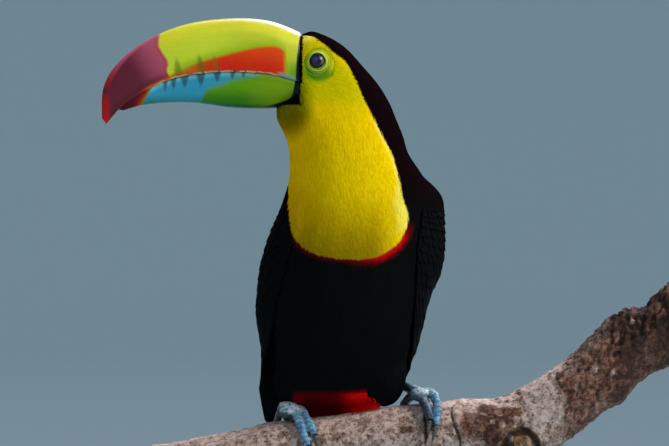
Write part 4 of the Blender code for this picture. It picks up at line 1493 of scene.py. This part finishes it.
def bill_half(name, lines):
    """One half of the bill, with a low saw along the upper half's cutting edge."""
    xs, closing, culmen, underside = lines
    half = fine_copy(name, 3, 55)
    points, normals = points_of(half), normals_of(half)
    x, z = points[:, 0], points[:, 2]
    above = z - np.interp(x, xs, closing)
    if name == "bill_upper":
        saw = np.mod(x / 6.1 + 0.35 * np.sin(x / 9.0), 1.0)
        notch = hump(saw, 0.5, 0.13) * smooth(x, -66.0, -76.0) * smooth(x, -166.0, -150.0)
        rim = smooth(above, 2.4, 0.2) * smooth(np.abs(normals[:, 1]), 0.2, 0.5)
        points[:, 2] += 0.55 * notch * rim
    from_below = z - np.interp(x, xs, underside)
    points += normals * (0.12 * lumps_at(points / 14.0))[:, None]
    if name == "bill_upper":
        points[:, 2] -= 1.5 * smooth(points[:, 2], 403.0, 393.5) * (x < -172.0)
        points[:, 2] += 0.6 * smooth(z - np.interp(x, xs, culmen), -4.0, 0.0) * smooth(x, -100.0, -70.0)
        points[:, 2] += 0.05 * (points[:, 2] - 407.0) * smooth(x, -172.0, -182.0)
    else:
        points[:, 2] -= (0.5 + 0.9 * smooth(x, -125.0, -100.0)) * smooth(from_below, 5.0, 0.0)
        points += normals * (0.45 * smooth(above, -5.0, -1.5) * smooth(x, -160.0, -150.0))[:, None]
        points[:, 2] += (0.5 + 0.6 * smooth(x, -142.0, -152.0)) * smooth(above, -3.0, -0.4)
    set_points(half, points)
    keel = KDTree(len(xs))
    for i, (place, height) in enumerate(zip(xs, culmen)):
        keel.insert((place, 0.0, height), i)
    keel.balance()
    from_keel = [keel.find((place, 0.0, height))[2] for place, height in zip(x, z)]
    set_attribute(half, "bill", np.stack([above, from_keel, from_below], axis=1))
    settle(half, f"{name}_horn")
    dress(half, name, "bill_horn" if name == "bill_upper" else "bill_lower_horn", name)


def bill_finish(name):
    """A satin horn shader and the numbers that the bill's markings are drawn with."""
    finish = Finish(name, Roughness=0.3, Specular_IOR_Level=0.28 if name == "upper_horn" else 0.1)
    above, keel, below = finish.numbers("bill")
    vector, x, y, z = finish.place()
    stretch = finish.join(x * 0.14, y * 0.5, z * 0.8)
    streaks = finish.noise(stretch, 1.6, 4.0, 0.6)
    cloud = finish.noise(vector, 9.0, 3.0)
    return finish, above, keel, below, vector, x, z, streaks, cloud


def horn_surface(finish, colour, vector, streaks, cloud, tip):
    """Faint growth lines, pits and a worn, duller tip over the bill's colours."""
    finish.set("Base Color", finish.shade(colour, finish.ramp(streaks, 0.3, 0.7, 0.965, 1.035)))
    pits = finish.noise(vector, 0.8, 2.0)
    finish.set("Roughness", finish.ramp(cloud, 0.3, 0.7, 0.24, 0.36) + 0.12 * tip)
    finish.bump(streaks * 0.6 + pits * 0.25, 0.25, 0.18)
    return finish.material


def bill_upper_material():
    """Lime with an orange blaze, olive smudges, a maroon tip and a black base."""
    finish, above, keel, _, vector, x, z, streaks, cloud = bill_finish("upper_horn")
    wobble = (cloud - 0.5) * 1.6
    # The lime ground, with its green borders, painted shade near the culmen and a painted highlight along
    # it.
    lime = finish.mix(finish.ramp(keel, 3.0, 15.0), tint(226, 222, 44), tint(206, 220, 48))
    toward_base = finish.ramp(x, -118.0, -84.0)
    lime = finish.mix(toward_base * finish.ramp(keel, 4.0, 12.0) * 0.7, lime, tint(184, 192, 40))
    top = finish.curve(x, BLAZE_TOP)
    low_green = finish.ramp(z - top + wobble, 7.5, 0.5) * finish.ramp(x, -141.0, -132.0)
    lime = finish.mix(low_green * 0.75, lime, tint(146, 186, 6))
    base_green = finish.ramp(x, -66.5, -60.5) * finish.ramp(z, 436.0, 423.0)
    lime = finish.mix(base_green, lime, tint(112, 158, 8))
    # Painted shade near the culmen, which offsets the light from above.
    lime = finish.shade(lime, 1 - 0.26 * finish.ramp(keel, 9.0, 1.0) * finish.ramp(x, -134.0, -96.0))
    # A painted highlight along the culmen.
    stripe = finish.ramp(x, -122.0, -66.0, 0.0, 1.9)
    shine = finish.ramp(keel - stripe, 0.9, -0.5) * finish.ramp(x, -136.0, -100.0)
    lime = finish.mix(shine * 0.9, lime, tint(234, 232, 208))
    blaze = finish.ramp(z - top + wobble * 0.4, 1.7, -1.5) * finish.ramp(x, -62.6, -67.0)
    orange = finish.mix(finish.ramp(above, 2.0, 15.0), tint(214, 34, 0), tint(226, 66, 2))
    thin = finish.ramp(x, -106.0, -126.0)
    orange = finish.mix(thin * 0.7, orange, tint(206, 88, 4))
    blaze = blaze * finish.ramp(x, -142.0, -116.0, 0.55, 1.0)
    colour = finish.mix(blaze, lime, orange)
    for place, half_width, height in SMUDGES:
        beside = abs(x - place + (above - 6.0) * 0.14)
        reach = (1 - above / height) * half_width
        smudge = finish.ramp(beside - reach, 1.3, -1.3) * finish.ramp(above, height, height * 0.6)
        colour = finish.mix(smudge * 0.62, colour, tint(86, 104, 10))
    gape = finish.ramp(x, -71.5, -67.0) * finish.ramp(above, 3.6, 1.6)
    colour = finish.mix(gape * 0.8, colour, tint(122, 156, 156))
    edge = finish.curve(z, TIP_EDGE)
    tip = finish.ramp(x - edge + wobble * 0.5, 1.1, -1.1)
    toward_top = finish.ramp(x + 0.7 * (z - 430.0), -170.0, -142.0)
    maroon = finish.mix(toward_top, tint(106, 28, 48), tint(184, 80, 106))
    maroon = finish.mix(finish.ramp(above, 8.0, 1.0) * 0.8, maroon, tint(92, 8, 22))
    near_edge = finish.ramp(x - edge + wobble, -4.5, 0.0) * finish.ramp(z, 448.0, 438.0)
    maroon = finish.mix(near_edge * 0.6, maroon, tint(196, 44, 50))
    rim_width = finish.ramp(x, -182.0, -150.0, 3.2, 1.2)
    red = finish.mix(finish.ramp(z, 440.0, 414.0), tint(206, 88, 114), tint(176, 8, 26))
    maroon = finish.mix(finish.ramp(keel - rim_width + wobble * 0.5, 1.4, -0.8), maroon, red)
    point = finish.ramp(x, -177.0, -181.5) * finish.ramp(z, 414.0, 404.0)
    maroon = finish.mix(point, maroon, tint(196, 4, 12))
    colour = finish.mix(tip, colour, maroon)
    strip = finish.ramp(above, 3.4, 0.8) * finish.ramp(x, -162.0, -150.0) * finish.ramp(x, -110.0, -132.0)
    colour = finish.mix(strip, colour, tint(206, 70, 4))
    # A painted highlight along the cutting edge, broken by the streaks.
    rim = finish.ramp(above, 1.2, 0.4) * finish.ramp(x, -156.0, -142.0) * finish.ramp(x, -66.0, -72.0)
    colour = finish.mix(rim * finish.ramp(streaks, 0.35, 0.6) * 0.9, colour, tint(250, 196, 130))
    for place, _, _ in TEETH[3:]:
        notch = finish.ramp(abs(x - place - 1.3), 0.9, 0.3) * finish.ramp(above, 1.8, 0.9)
        colour = finish.mix(notch * 0.7, colour, tint(40, 26, 12))
    band = finish.curve(z, BAND_UPPER)
    colour = finish.mix(finish.ramp(x - band, -0.5, 0.3), colour, tint(24, 20, 26))
    return horn_surface(finish, colour, vector, streaks, cloud, tip)


def bill_lower_material():
    """Green and cyan with dark teeth, a maroon tip and a black base."""
    finish, above, _, below, vector, x, z, streaks, cloud = bill_finish("lower_horn")
    wobble = (cloud - 0.5) * 2.0
    green = finish.mix(finish.ramp(z + wobble, 403.0, 416.0), tint(44, 118, 2), tint(100, 156, 2))
    green = finish.mix(finish.ramp(x + wobble, -98.0, -66.0) * 0.7, green, tint(140, 166, 2))
    low_teal = finish.ramp(below, 3.4, 0.6) * finish.ramp(x, -80.0, -112.0)
    green = finish.mix(low_teal * 0.8, green, tint(30, 112, 88))
    reach = finish.curve(x, GREEN_TOP)
    cyan = finish.mix(finish.ramp(z, 402.5, 411.0), tint(40, 120, 104), tint(54, 152, 180))
    cyan = finish.mix(finish.ramp(above, -4.2, -1.0) * 0.7, cyan, tint(126, 204, 212))
    colour = finish.mix(finish.ramp(z - reach + wobble * 0.9, -3.8, 3.4), green, cyan)
    # A painted highlight along the lower half's upper edge.
    pale = finish.ramp(above, -2.6, -0.6) * finish.ramp(x, -112.0, -100.0)
    colour = finish.mix(pale * 0.6, colour, tint(176, 204, 120))
    for place, half_width, depth in TEETH:
        reach_down = (above / depth + 1.0) * half_width
        tooth = finish.ramp(abs(x - place + wobble * 0.3) - reach_down, 1.1, -0.9)
        tooth = tooth * finish.ramp(above, -depth * 1.1, -depth * 0.6)
        colour = finish.mix(tooth * 0.8, colour, tint(44, 76, 96))
    depth = finish.ramp(x, -122.0, -86.0, 0.9, 2.2)
    dark_edge = finish.ramp(below - depth, 1.0, -1.0) * finish.ramp(x, -150.0, -120.0, 0.4, 1.0)
    colour = finish.mix(dark_edge * 0.75, colour, tint(14, 44, 38))
    lean = x + 155.9 - (z - 407.4) * 0.58 + wobble * 0.4
    colour = finish.mix(finish.ramp(lean, 1.4, -0.6), colour, tint(160, 104, 8))
    colour = finish.mix(finish.ramp(lean, 0.4, -2.4), colour, tint(150, 42, 8))
    end = finish.mix(finish.ramp(z, 401.0, 411.0), tint(76, 14, 22), tint(122, 22, 28))
    tip = finish.ramp(lean, -1.6, -5.0)
    colour = finish.mix(tip, colour, end)
    edge = finish.curve(x, BAND_LOWER)
    colour = finish.mix(finish.ramp(z - edge, 0.6, -0.5), colour, tint(16, 16, 22))
    return horn_surface(finish, colour, vector, streaks, cloud, tip)


def make_eye(side):
    """An eyeball with a slightly raised front."""
    eye = EYES[side]
    outward = math.copysign(1.0, eye[1] - MIDDLE_Y)
    bpy.ops.mesh.primitive_uv_sphere_add(
        segments=64,
        ring_count=40,
        radius=MM * EYE_RADIUS,
        location=MM * eye,
        rotation=(math.pi / 2, 0, 0),
    )
    ball = settle(bpy.context.object, f"eyeball_{side}")
    points = points_of(ball)
    beside, above, _ = eye_offset(points)
    facing = (points[:, 1] - eye[1]) * outward > 0
    radius = np.hypot(beside, above)
    points[:, 1] += outward * facing * 0.35 * smooth(radius, 4.2, 0.0)
    set_points(ball, points)
    ball.data.shade_smooth()
    dress(ball, "eye", "eye_gloss", f"eye_{side}")


def eye_material():
    """A dark eye: a violet-brown iris with a painted bluish reflection and a painted dull sheen, round a
    black pupil.
    """
    finish = Finish("eye_gloss", Roughness=0.26, Specular_IOR_Level=0.25)
    _, x, _, z = finish.place()
    eye = EYES["left"]
    beside, above = x - eye[0], z - eye[2]
    flat = finish.join(beside, above, 0.0)
    radius = flat.size()
    rays = finish.noise(flat, 0.7, 3.0, 0.6, 1.2)
    iris = finish.mix(rays, tint(10, 9, 20), tint(24, 20, 38))
    # A painted reflection of the sky, bluish, at the upper left.
    from_reflection = finish.join(beside + 1.5, above - 1.0, 0.0).size()
    iris = finish.mix(finish.ramp(from_reflection, 3.2, 0.6) * 0.85, iris, tint(66, 64, 128))
    # A painted sheen: a dull crescent to the right.
    sheen = finish.ramp(beside, 0.6, 2.6) * finish.ramp(above, -2.6, -0.4)
    sheen = sheen * finish.ramp(abs(radius - 3.3), 1.1, 0.2)
    iris = finish.mix(sheen * 0.8, iris, tint(112, 106, 104))
    iris = finish.mix(finish.ramp(radius, 4.1, 4.7), iris, tint(6, 5, 8))
    pupil = finish.ramp(radius, 1.9, 1.3)
    # The pupil shows black only away from the painted reflection.
    colour = finish.mix(pupil * finish.ramp(beside - above, -1.6, 1.4), iris, tint(4, 4, 6))
    finish.set("Base Color", colour)
    finish.set("Roughness", finish.ramp(rays, 0.3, 0.7, 0.24, 0.3))
    return finish.material


def make_claws():
    """The eight claws."""
    for side in ("left", "right"):
        for number in range(1, 5):
            node = f"claw_{side}_{number}"
            claw = fine_copy(node, 2, 80)
            dress(settle(claw, f"{node}_horn"), "claw", "claw_horn", node)


def claw_material():
    """Dark brown-grey horn."""
    finish = Finish("claw_horn", Roughness=0.3)
    _, x, y, z = finish.place()
    grain = finish.noise(finish.join(x * 2.0, y * 0.6, z * 0.6), 1.4, 3.0)
    colour = finish.mix(finish.ramp(grain, 0.35, 0.7), tint(46, 42, 44), tint(104, 92, 80))
    finish.set("Base Color", colour)
    finish.set("Roughness", finish.ramp(grain, 0.3, 0.7, 0.26, 0.42))
    finish.bump(grain, 0.2, 0.15)
    return finish.material


# ---------------------------------------------------------------- branch and stand


def bark_marks(points, front):
    """Shares of dark bark, of pale smooth bark and of green over the branch."""
    x, y, z = points.T
    cloud = lumps_at(points / 16.0)
    rough = lumps_at(points / 5.0)
    dark = 0.75 * smooth(x + 14.0 * cloud, 96.0, 128.0)
    dark += 0.35 * smooth(x + 10.0 * cloud, 140.0, 160.0)
    node = smooth(x, 66.0, 74.0) * smooth(x, 104.0, 96.0)
    dark = np.maximum(dark, node * smooth(rough + 0.4 * cloud, -0.25, 0.2) * 0.8)
    dark = np.maximum(dark, smooth(rough + cloud, 0.15, 0.6) * 0.45)
    pale = smooth(x, 86.0, 94.0) * smooth(x + 7.0 * cloud, 116.0, 106.0) * smooth(z, 194.0, 204.0)
    pale = np.maximum(pale, 0.55 * smooth(cloud, 0.08, 0.35) * smooth(x, 70.0, 50.0))
    for place, height, size in PALE_KNOTS:
        away = np.hypot(x - place, z - height) + 2.0 * rough
        pale = np.maximum(pale, 0.8 * front * smooth(away, size, 0.2 * size))
    for place, height, wide, high, share in BARK_PATCHES:
        inside = np.hypot((x - place) / wide, (z - height) / high) + 0.45 * rough
        inside = smooth(inside, 1.2, 0.5) * front
        dark = np.maximum(dark, share * inside)
        pale = np.maximum(pale, -share * inside)
    hollow = np.hypot(x - CALLUS[0], z - CALLUS[1]) + 1.5 * rough
    turned = smooth(x - CALLUS[0] + 0.3 * (z - CALLUS[1]), -2.0, 6.0)
    crescent = front * smooth(hollow, 7.5, 9.0) * smooth(hollow, 13.8, 12.6) * turned
    dark = np.maximum(dark, 1.3 * crescent)
    bend = smooth(np.abs(x - 124.0 + 0.5 * (z - 215.0) + 10.0 * cloud), 12.0, 3.0) * front
    dark = np.maximum(dark, bend * smooth(rough + 0.5 * cloud, -0.35, 0.2))
    green = front * smooth(hollow, 9.0, 7.0) * smooth(x, CALLUS[0] - 5.5, CALLUS[0] - 4.0)
    green = np.maximum(0.9 * green, 0.45 * node * smooth(rough, 0.1, 0.35))
    torn = smooth(x + 5.0 * cloud, 140.0, 150.0) * smooth(x, 176.0, 168.0)
    torn = torn * smooth(z + 0.5 * y, 246.0, 256.0)
    dark = np.maximum(dark, 1.3 * torn * smooth(rough, -0.35, -0.05))
    return np.stack([np.clip(dark, 0, 1.3) * (1 - 0.8 * pale), pale, green], axis=1)


def make_perch():
    """The branch with ridged, cracked and pitted bark, and flat sawn ends."""
    perch = cad_copy("perch")
    apply(perch, "REMESH", mode="VOXEL", voxel_size=MM * BARK_VOXEL)
    apply(perch, "SMOOTH", factor=0.5, iterations=3)
    points, normals = points_of(perch), normals_of(perch)
    xs = np.linspace(points[:, 0].min() + 1.0, points[:, 0].max() - 1.0, 60)
    line = np.array([branch_middle(x) for x in xs])
    way = np.concatenate([[0], np.cumsum(np.linalg.norm(np.diff(line, axis=0), axis=1))])
    centre = np.stack([np.interp(points[:, 0], xs, line[:, k]) for k in range(3)], axis=1)
    run = np.interp(points[:, 0], xs, way)
    turn = np.arctan2(points[:, 1] - centre[:, 1], points[:, 2] - centre[:, 2])
    front = smooth(-normals[:, 1], 0.1, 0.4)
    ends = smooth(np.abs(normals[:, 0]), 0.93, 0.8)
    x, _, z = points.T
    wrapped = np.stack([run / 4.0, np.cos(turn) * 5.0, np.sin(turn) * 5.0], axis=1)
    fibres = np.array([noise.turbulence(Vector(p * (0.18, 1.5, 1.5)), 4, True) for p in wrapped])
    lumps = lumps_at(wrapped * 0.3)
    crumbs = np.array([noise.turbulence(Vector(point / 4.0), 3, False) for point in points])
    rough = 0.35 + 0.65 * smooth(x, 100.0, 130.0) + 0.5 * smooth(x, 66.0, 74.0) * smooth(x, 104.0, 96.0)
    relief = 0.16 * (0.6 - fibres) + 0.6 * lumps + 0.9 * rough * (crumbs - crumbs.mean())
    torn = smooth(x, 142.0, 152.0) * smooth(z - centre[:, 2], -2.0, 8.0)
    flakes = lumps_at(wrapped * (0.9, 0.7, 0.7) + (3.0, 7.0, 1.0))
    relief += torn * (1.7 * smooth(flakes + 0.5 * (crumbs - crumbs.mean()), 0.0, 0.1) - 0.7)
    bend = x - 43.5 - 6.0 * smooth(z, 206.0, 184.0) - 4.0 * smooth(z, 206.0, 213.0) - 1.2 * lumps
    facing = smooth(np.abs(turn + math.pi / 2), 1.7, 1.2)
    relief += facing * (0.7 * hump(bend, 3.0, 2.4) - 1.3 * hump(bend, 0.0, 0.8))
    for place, sway, deep in ((-20.0, 3.0, 0.5), (-97.0, 4.0, 0.6), (122.0, 5.0, 0.7), (138.0, -4.0, 0.8)):
        offset = x - place - sway * np.cos(turn + 0.6) - 2.0 * lumps
        relief -= deep * hump(offset, 0.0, 0.9) * (0.6 + 0.6 * lumps)
    hollow = np.hypot(x - CALLUS[0], z - CALLUS[1]) + 1.5 * lumps
    relief += front * (1.2 * smooth(hollow, 9.0, 5.0) - 1.6 * hump(hollow, 11.0, 1.8))
    # A groove under the left foot's inner toe, which the bark's colour darkens as the toe's painted
    # shadow.
    relief -= 0.9 * front * hump(x + lumps, 26.5, 1.3) * smooth(z, 209.0, 204.0)
    for place, height, size in PALE_KNOTS:
        relief += 0.9 * front * smooth(np.hypot(x - place, z - height), size, 0.3 * size)
    relief -= 0.15
    moved = points + normals * (relief * ends)[:, None]
    top_shift, low_shift = between(BRANCH_SHIFT, moved[:, 0])
    high = np.clip((moved[:, 2] - centre[:, 2]) / (2 * BRANCH_RADIUS) + 0.5, 0.0, 1.0)
    moved[:, 2] += top_shift * high + low_shift * (1 - high)
    set_points(perch, moved)
    set_attribute(perch, "bark", np.stack([relief, crumbs, 1 - ends], axis=1))
    set_attribute(perch, "way", np.stack([run, turn, fibres], axis=1))
    set_attribute(perch, "tone", bark_marks(points, front))
    perch.data.shade_smooth()
    dress(settle(perch, "perch_bark"), "bark", "bark", "perch")


def bark_material():
    """Pale and brown bark with cracks, pits and moss, and sawn wood at the ends."""
    finish = Finish("bark", Roughness=0.85, Specular_IOR_Level=0.25)
    relief, _, sawn = finish.numbers("bark")
    run, turn, _ = finish.numbers("way")
    dark, pale, green = finish.numbers("tone")
    vector, _, y, z = finish.place()
    around = finish.join(run * 0.22, turn * 22.0, 0.0)
    streaks = finish.noise(around, 1.4, 4.0, 0.6)
    mottle = finish.noise(vector, 5.0, 6.0, 0.7)
    specks = finish.noise(vector, 2.4, 5.0, 0.72)
    pits = finish.cells(vector, 2.6)
    colour = finish.mix(finish.ramp(mottle, 0.4, 0.6), tint(128, 98, 84), tint(206, 176, 164))
    colour = finish.mix(finish.ramp(streaks, 0.48, 0.34) * 0.4, colour, tint(92, 66, 54))
    brown = finish.mix(finish.ramp(specks, 0.34, 0.62), tint(70, 40, 30), tint(134, 88, 70))
    patches = finish.noise(vector, 11.0, 5.0, 0.65, 0.6)
    brown = finish.mix(finish.ramp(patches, 0.54, 0.44) * 0.75, brown, tint(44, 24, 18))
    brown = finish.mix(finish.ramp(patches, 0.54, 0.66) * 0.5, brown, tint(160, 124, 108))
    edge = finish.ramp(mottle, 0.35, 0.65, -0.3, 0.3)
    colour = finish.mix(finish.ramp(dark + edge, 0.3, 0.7), colour, brown)
    colour = finish.mix(finish.ramp(dark, 0.8, 1.3) * 0.75, colour, tint(34, 18, 14))
    smoother = finish.mix(finish.ramp(mottle, 0.3, 0.7), tint(150, 124, 114), tint(206, 180, 172))
    colour = finish.mix(finish.ramp(pale + edge, 0.35, 0.85) * 0.8, colour, smoother)
    moss = finish.mix(finish.ramp(mottle, 0.4, 0.6), tint(84, 62, 34), tint(142, 112, 62))
    colour = finish.mix(finish.ramp(green + edge * 0.6, 0.25, 0.7) * 0.8, colour, moss)
    # Painted shade where the relief sinks into cracks and grooves.
    crack_shade = finish.ramp(relief, -0.35, -1.0)
    colour = finish.mix(crack_shade * 0.85, colour, tint(34, 22, 18))
    pit = finish.ramp(pits, 0.4, 0.14) * finish.ramp(mottle, 0.6, 0.46)
    colour = finish.mix(pit * 0.8, colour, tint(44, 26, 18))
    colour = finish.mix(finish.ramp(specks, 0.44, 0.34) * 0.75, colour, tint(56, 36, 26))
    glints = finish.ramp(specks, 0.58, 0.68) * finish.ramp(dark, 1.0, 0.2)
    colour = finish.mix(glints * 0.7, colour, tint(228, 206, 194))
    # A painted highlight along the top of the branch.
    rim = finish.ramp(turn, -1.0, -0.4) * finish.ramp(turn, 1.2, 0.5) * finish.ramp(specks, 0.4, 0.56)
    colour = finish.mix(rim * 0.6 * finish.ramp(dark, 0.9, 0.4), colour, tint(214, 190, 184))
    ring = finish.join(y + 6.0, z - 172.0, 0.0).size()
    grain = (ring * 0.42 + mottle * 1.6).wave()
    wood = finish.mix(grain, tint(208, 174, 126), tint(172, 132, 88))
    colour = finish.mix(sawn, colour, wood)
    finish.set("Base Color", colour)
    finish.set("Roughness", finish.ramp(mottle, 0.3, 0.7, 0.92, 0.74))
    finish.bump(specks * 1.1 + mottle * 0.8 + streaks * 0.3, 0.8, 0.8)
    return finish.material


def make_stand():
    """The display stand: an eased wooden block, two brushed rods and the collars at their feet."""
    low, high = (np.array(corner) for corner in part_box("stand_base"))
    bpy.ops.mesh.primitive_cube_add(size=1.0, location=(low + high) / 2, scale=high - low)
    block = settle(bpy.context.object, "stand_block")
    top = high[2] / MM
    bevel_edges(block, lambda one, other: abs(one[2] - other[2]) > 1.0, 22.0, 24)
    bevel_edges(block, lambda one, other: min(one[2], other[2]) > top - 0.01, 3.0, 6)
    bevel_edges(block, lambda one, other: max(one[2], other[2]) < 0.01, 1.2, 3)
    ease(block, 35)
    dress(block, "stand_wood", "stand_wood", "stand_base")
    for side in ("left", "right"):
        node = f"stand_rod_{side}"
        low, high = (np.array(corner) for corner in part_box(node))
        x, y, _ = (low + high) / 2
        radius = (high[0] - low[0]) / 2
        rod = turned_metal(f"{node}_tube", (x, y), low[2], high[2], radius, 0.5, 2)
        dress(rod, "stand_steel", "stand_steel", node)
        collar_top = MM * (top + 4.0)
        name = f"stand_collar_{side}"
        collar = turned_metal(name, (x, y), MM * top, collar_top, 2.1 * radius, 1.1, 4)
        dress(collar, "stand_steel", "stand_steel")


def turned_metal(name, place, bottom, top, radius, rounding, segments):
    """An upright round piece with rounded rims; its sizes are in metres, its rounding in mm."""
    location = (*place, (bottom + top) / 2)
    bpy.ops.mesh.primitive_cylinder_add(
        vertices=48, radius=radius, depth=top - bottom, location=location
    )
    piece = settle(bpy.context.object, name)
    bevel_edges(piece, lambda one, other: abs(one[2] - other[2]) < 0.01, rounding, segments)
    ease(piece, 40)
    return piece


def ease(piece, angle):
    """Shades a piece smooth across edges flatter than an angle."""
    pick(piece)
    bpy.ops.object.shade_smooth_by_angle(angle=math.radians(angle))


def wood_material():
    """Dark oiled wood with a soft figure."""
    finish = Finish("stand_wood", Roughness=0.35, Coat_Roughness=0.15)
    finish.set("Coat Weight", 0.3)
    _, x, y, z = finish.place()
    bend = finish.noise(finish.join(x * 0.02, y * 0.05, z * 0.05), 1.0, 2.0)
    stretched = finish.join(x * 0.06, y + bend * 16.0, z * 1.3 + bend * 5.0)
    figure = finish.noise(stretched, 5.0, 6.0, 0.6)
    pores = finish.noise(finish.join(x * 0.08, y * 2.2, z * 2.2), 1.2, 3.0)
    colour = finish.mix(finish.ramp(figure, 0.35, 0.65), tint(74, 44, 28), tint(122, 78, 48))
    colour = finish.mix(finish.ramp(pores, 0.42, 0.33) * 0.6, colour, tint(42, 24, 15))
    finish.set("Base Color", colour)
    finish.set("Roughness", finish.ramp(pores, 0.3, 0.6, 0.5, 0.34))
    finish.bump(pores, 0.25, 0.2)
    return finish.material


def steel_material():
    """Brushed steel."""
    finish = Finish("stand_steel", Metallic=1.0, Roughness=0.32)
    _, x, y, z = finish.place()
    brushed = finish.noise(finish.join(x * 0.4, y * 0.4, z * 9.0), 1.0, 3.0)
    colour = finish.mix(brushed, tint(168, 166, 162), tint(206, 204, 200))
    finish.set("Base Color", colour)
    finish.set("Roughness", finish.ramp(brushed, 0.3, 0.7, 0.26, 0.42))
    finish.bump(brushed, 0.1, 0.05)
    return finish.material


# ---------------------------------------------------------------- studio


def make_studio():
    """A wide pale bowl of floor and backdrop, three soft lights and a soft sky, in metres."""
    radius, rise, corner, steps = 15.0, 4.6, 4.0, 8
    floor = radius - corner
    bpy.ops.mesh.primitive_circle_add(
        vertices=96, radius=floor, fill_type="NGON", enter_editmode=True
    )
    bpy.context.tool_settings.mesh_select_mode = (False, False, True)
    for i in range(1, steps + 1):
        before, after = (math.pi / 2 * k / steps for k in (i - 1, i))
        reach = [floor + corner * math.sin(a) for a in (before, after)]
        up = corner * (math.cos(before) - math.cos(after))
        bpy.ops.mesh.extrude_region_move(TRANSFORM_OT_translate={"value": (0, 0, up)})
        bpy.ops.transform.resize(value=(reach[1] / reach[0], reach[1] / reach[0], 1))
    bpy.ops.mesh.extrude_region_move(TRANSFORM_OT_translate={"value": (0, 0, rise - corner)})
    bpy.ops.mesh.delete(type="ONLY_FACE")
    leave_edit()
    bowl = bpy.context.object
    bowl.name = "studio_floor"
    ease(bowl, 30)
    finish = Finish("studio_paper", Roughness=0.9, Specular_IOR_Level=0.1)
    vector, *_ = finish.place()
    fibre = finish.noise(vector, 40.0, 3.0)
    finish.set("Base Color", finish.mix(fibre, tint(189, 216, 226), tint(191, 218, 228)))
    bowl.data.materials.append(finish.material)
    target = Vector((-0.03, 0.0, 0.33))
    lamp("key", (1.84, -0.86, 1.9), target, 0.9, 53.0, (1.0, 0.96, 0.9))
    lamp("overhead", (0.3, 0.75, 1.8), target, 1.4, 20.0, (0.96, 0.98, 1.0))
    lamp("rim", (1.2, 1.5, 1.7), target, 1.0, 26.0, (0.94, 0.97, 1.0))
    world = bpy.data.worlds.new("studio_sky")
    world.use_nodes = True
    sky = world.node_tree.nodes["Background"].inputs
    sky["Color"].default_value = (0.7, 0.74, 0.8, 1.0)
    sky["Strength"].default_value = 0.5
    bpy.context.scene.world = world
    bpy.context.scene.view_settings.view_transform = "Standard"


def lamp(name, place, target, size, power, colour):
    """A round soft light that faces the target and isn't seen itself."""
    data = bpy.data.lights.new(name, "AREA")
    data.shape = "DISK"
    data.size = size
    data.energy = power
    data.color = colour
    made = bpy.data.objects.new(name, data)
    made.location = place
    made.rotation_euler = (target - Vector(place)).to_track_quat("-Z", "Y").to_euler()
    made.visible_camera = False
    bpy.context.scene.collection.objects.link(made)


def make_camera():
    """A long lens level with the breast, far in front; it sees a set width at the bill's plane."""
    distance, plane, seen_width = 4.0, 0.02, 0.4349
    data = bpy.data.cameras.new("camera")
    data.sensor_width = 36.0
    data.lens = data.sensor_width * (distance - plane) / seen_width
    data.clip_end = 100.0
    made = bpy.data.objects.new("camera", data)
    made.location = (-0.0328, -distance, 0.3265)
    made.rotation_euler = (math.pi / 2, 0.0, 0.0)
    bpy.context.scene.collection.objects.link(made)
    bpy.context.scene.camera = made


MATERIALS = {
    "skin": skin_material(),
    "foot": foot_material(),
    "small_feather": feather_material("small_feather", 9.0),
    "covert_feather": feather_material("covert_feather", 26.0),
    "quill_feather": feather_material("quill_feather", 110.0),
    "bill_upper": bill_upper_material(),
    "bill_lower": bill_lower_material(),
    "eye": eye_material(),
    "claw": claw_material(),
    "bark": bark_material(),
    "stand_wood": wood_material(),
    "stand_steel": steel_material(),
}

make_camera()
make_studio()
skin = make_skin()
surface, uvs = body_coat(skin)
for side in ("left", "right"):
    wing_feathers(side, surface, uvs)
    make_eye(side)
tail_feathers(surface, uvs)
lines = bill_lines()
bill_half("bill_upper", lines)
bill_half("bill_lower", lines)
make_claws()
make_perch()
make_stand()
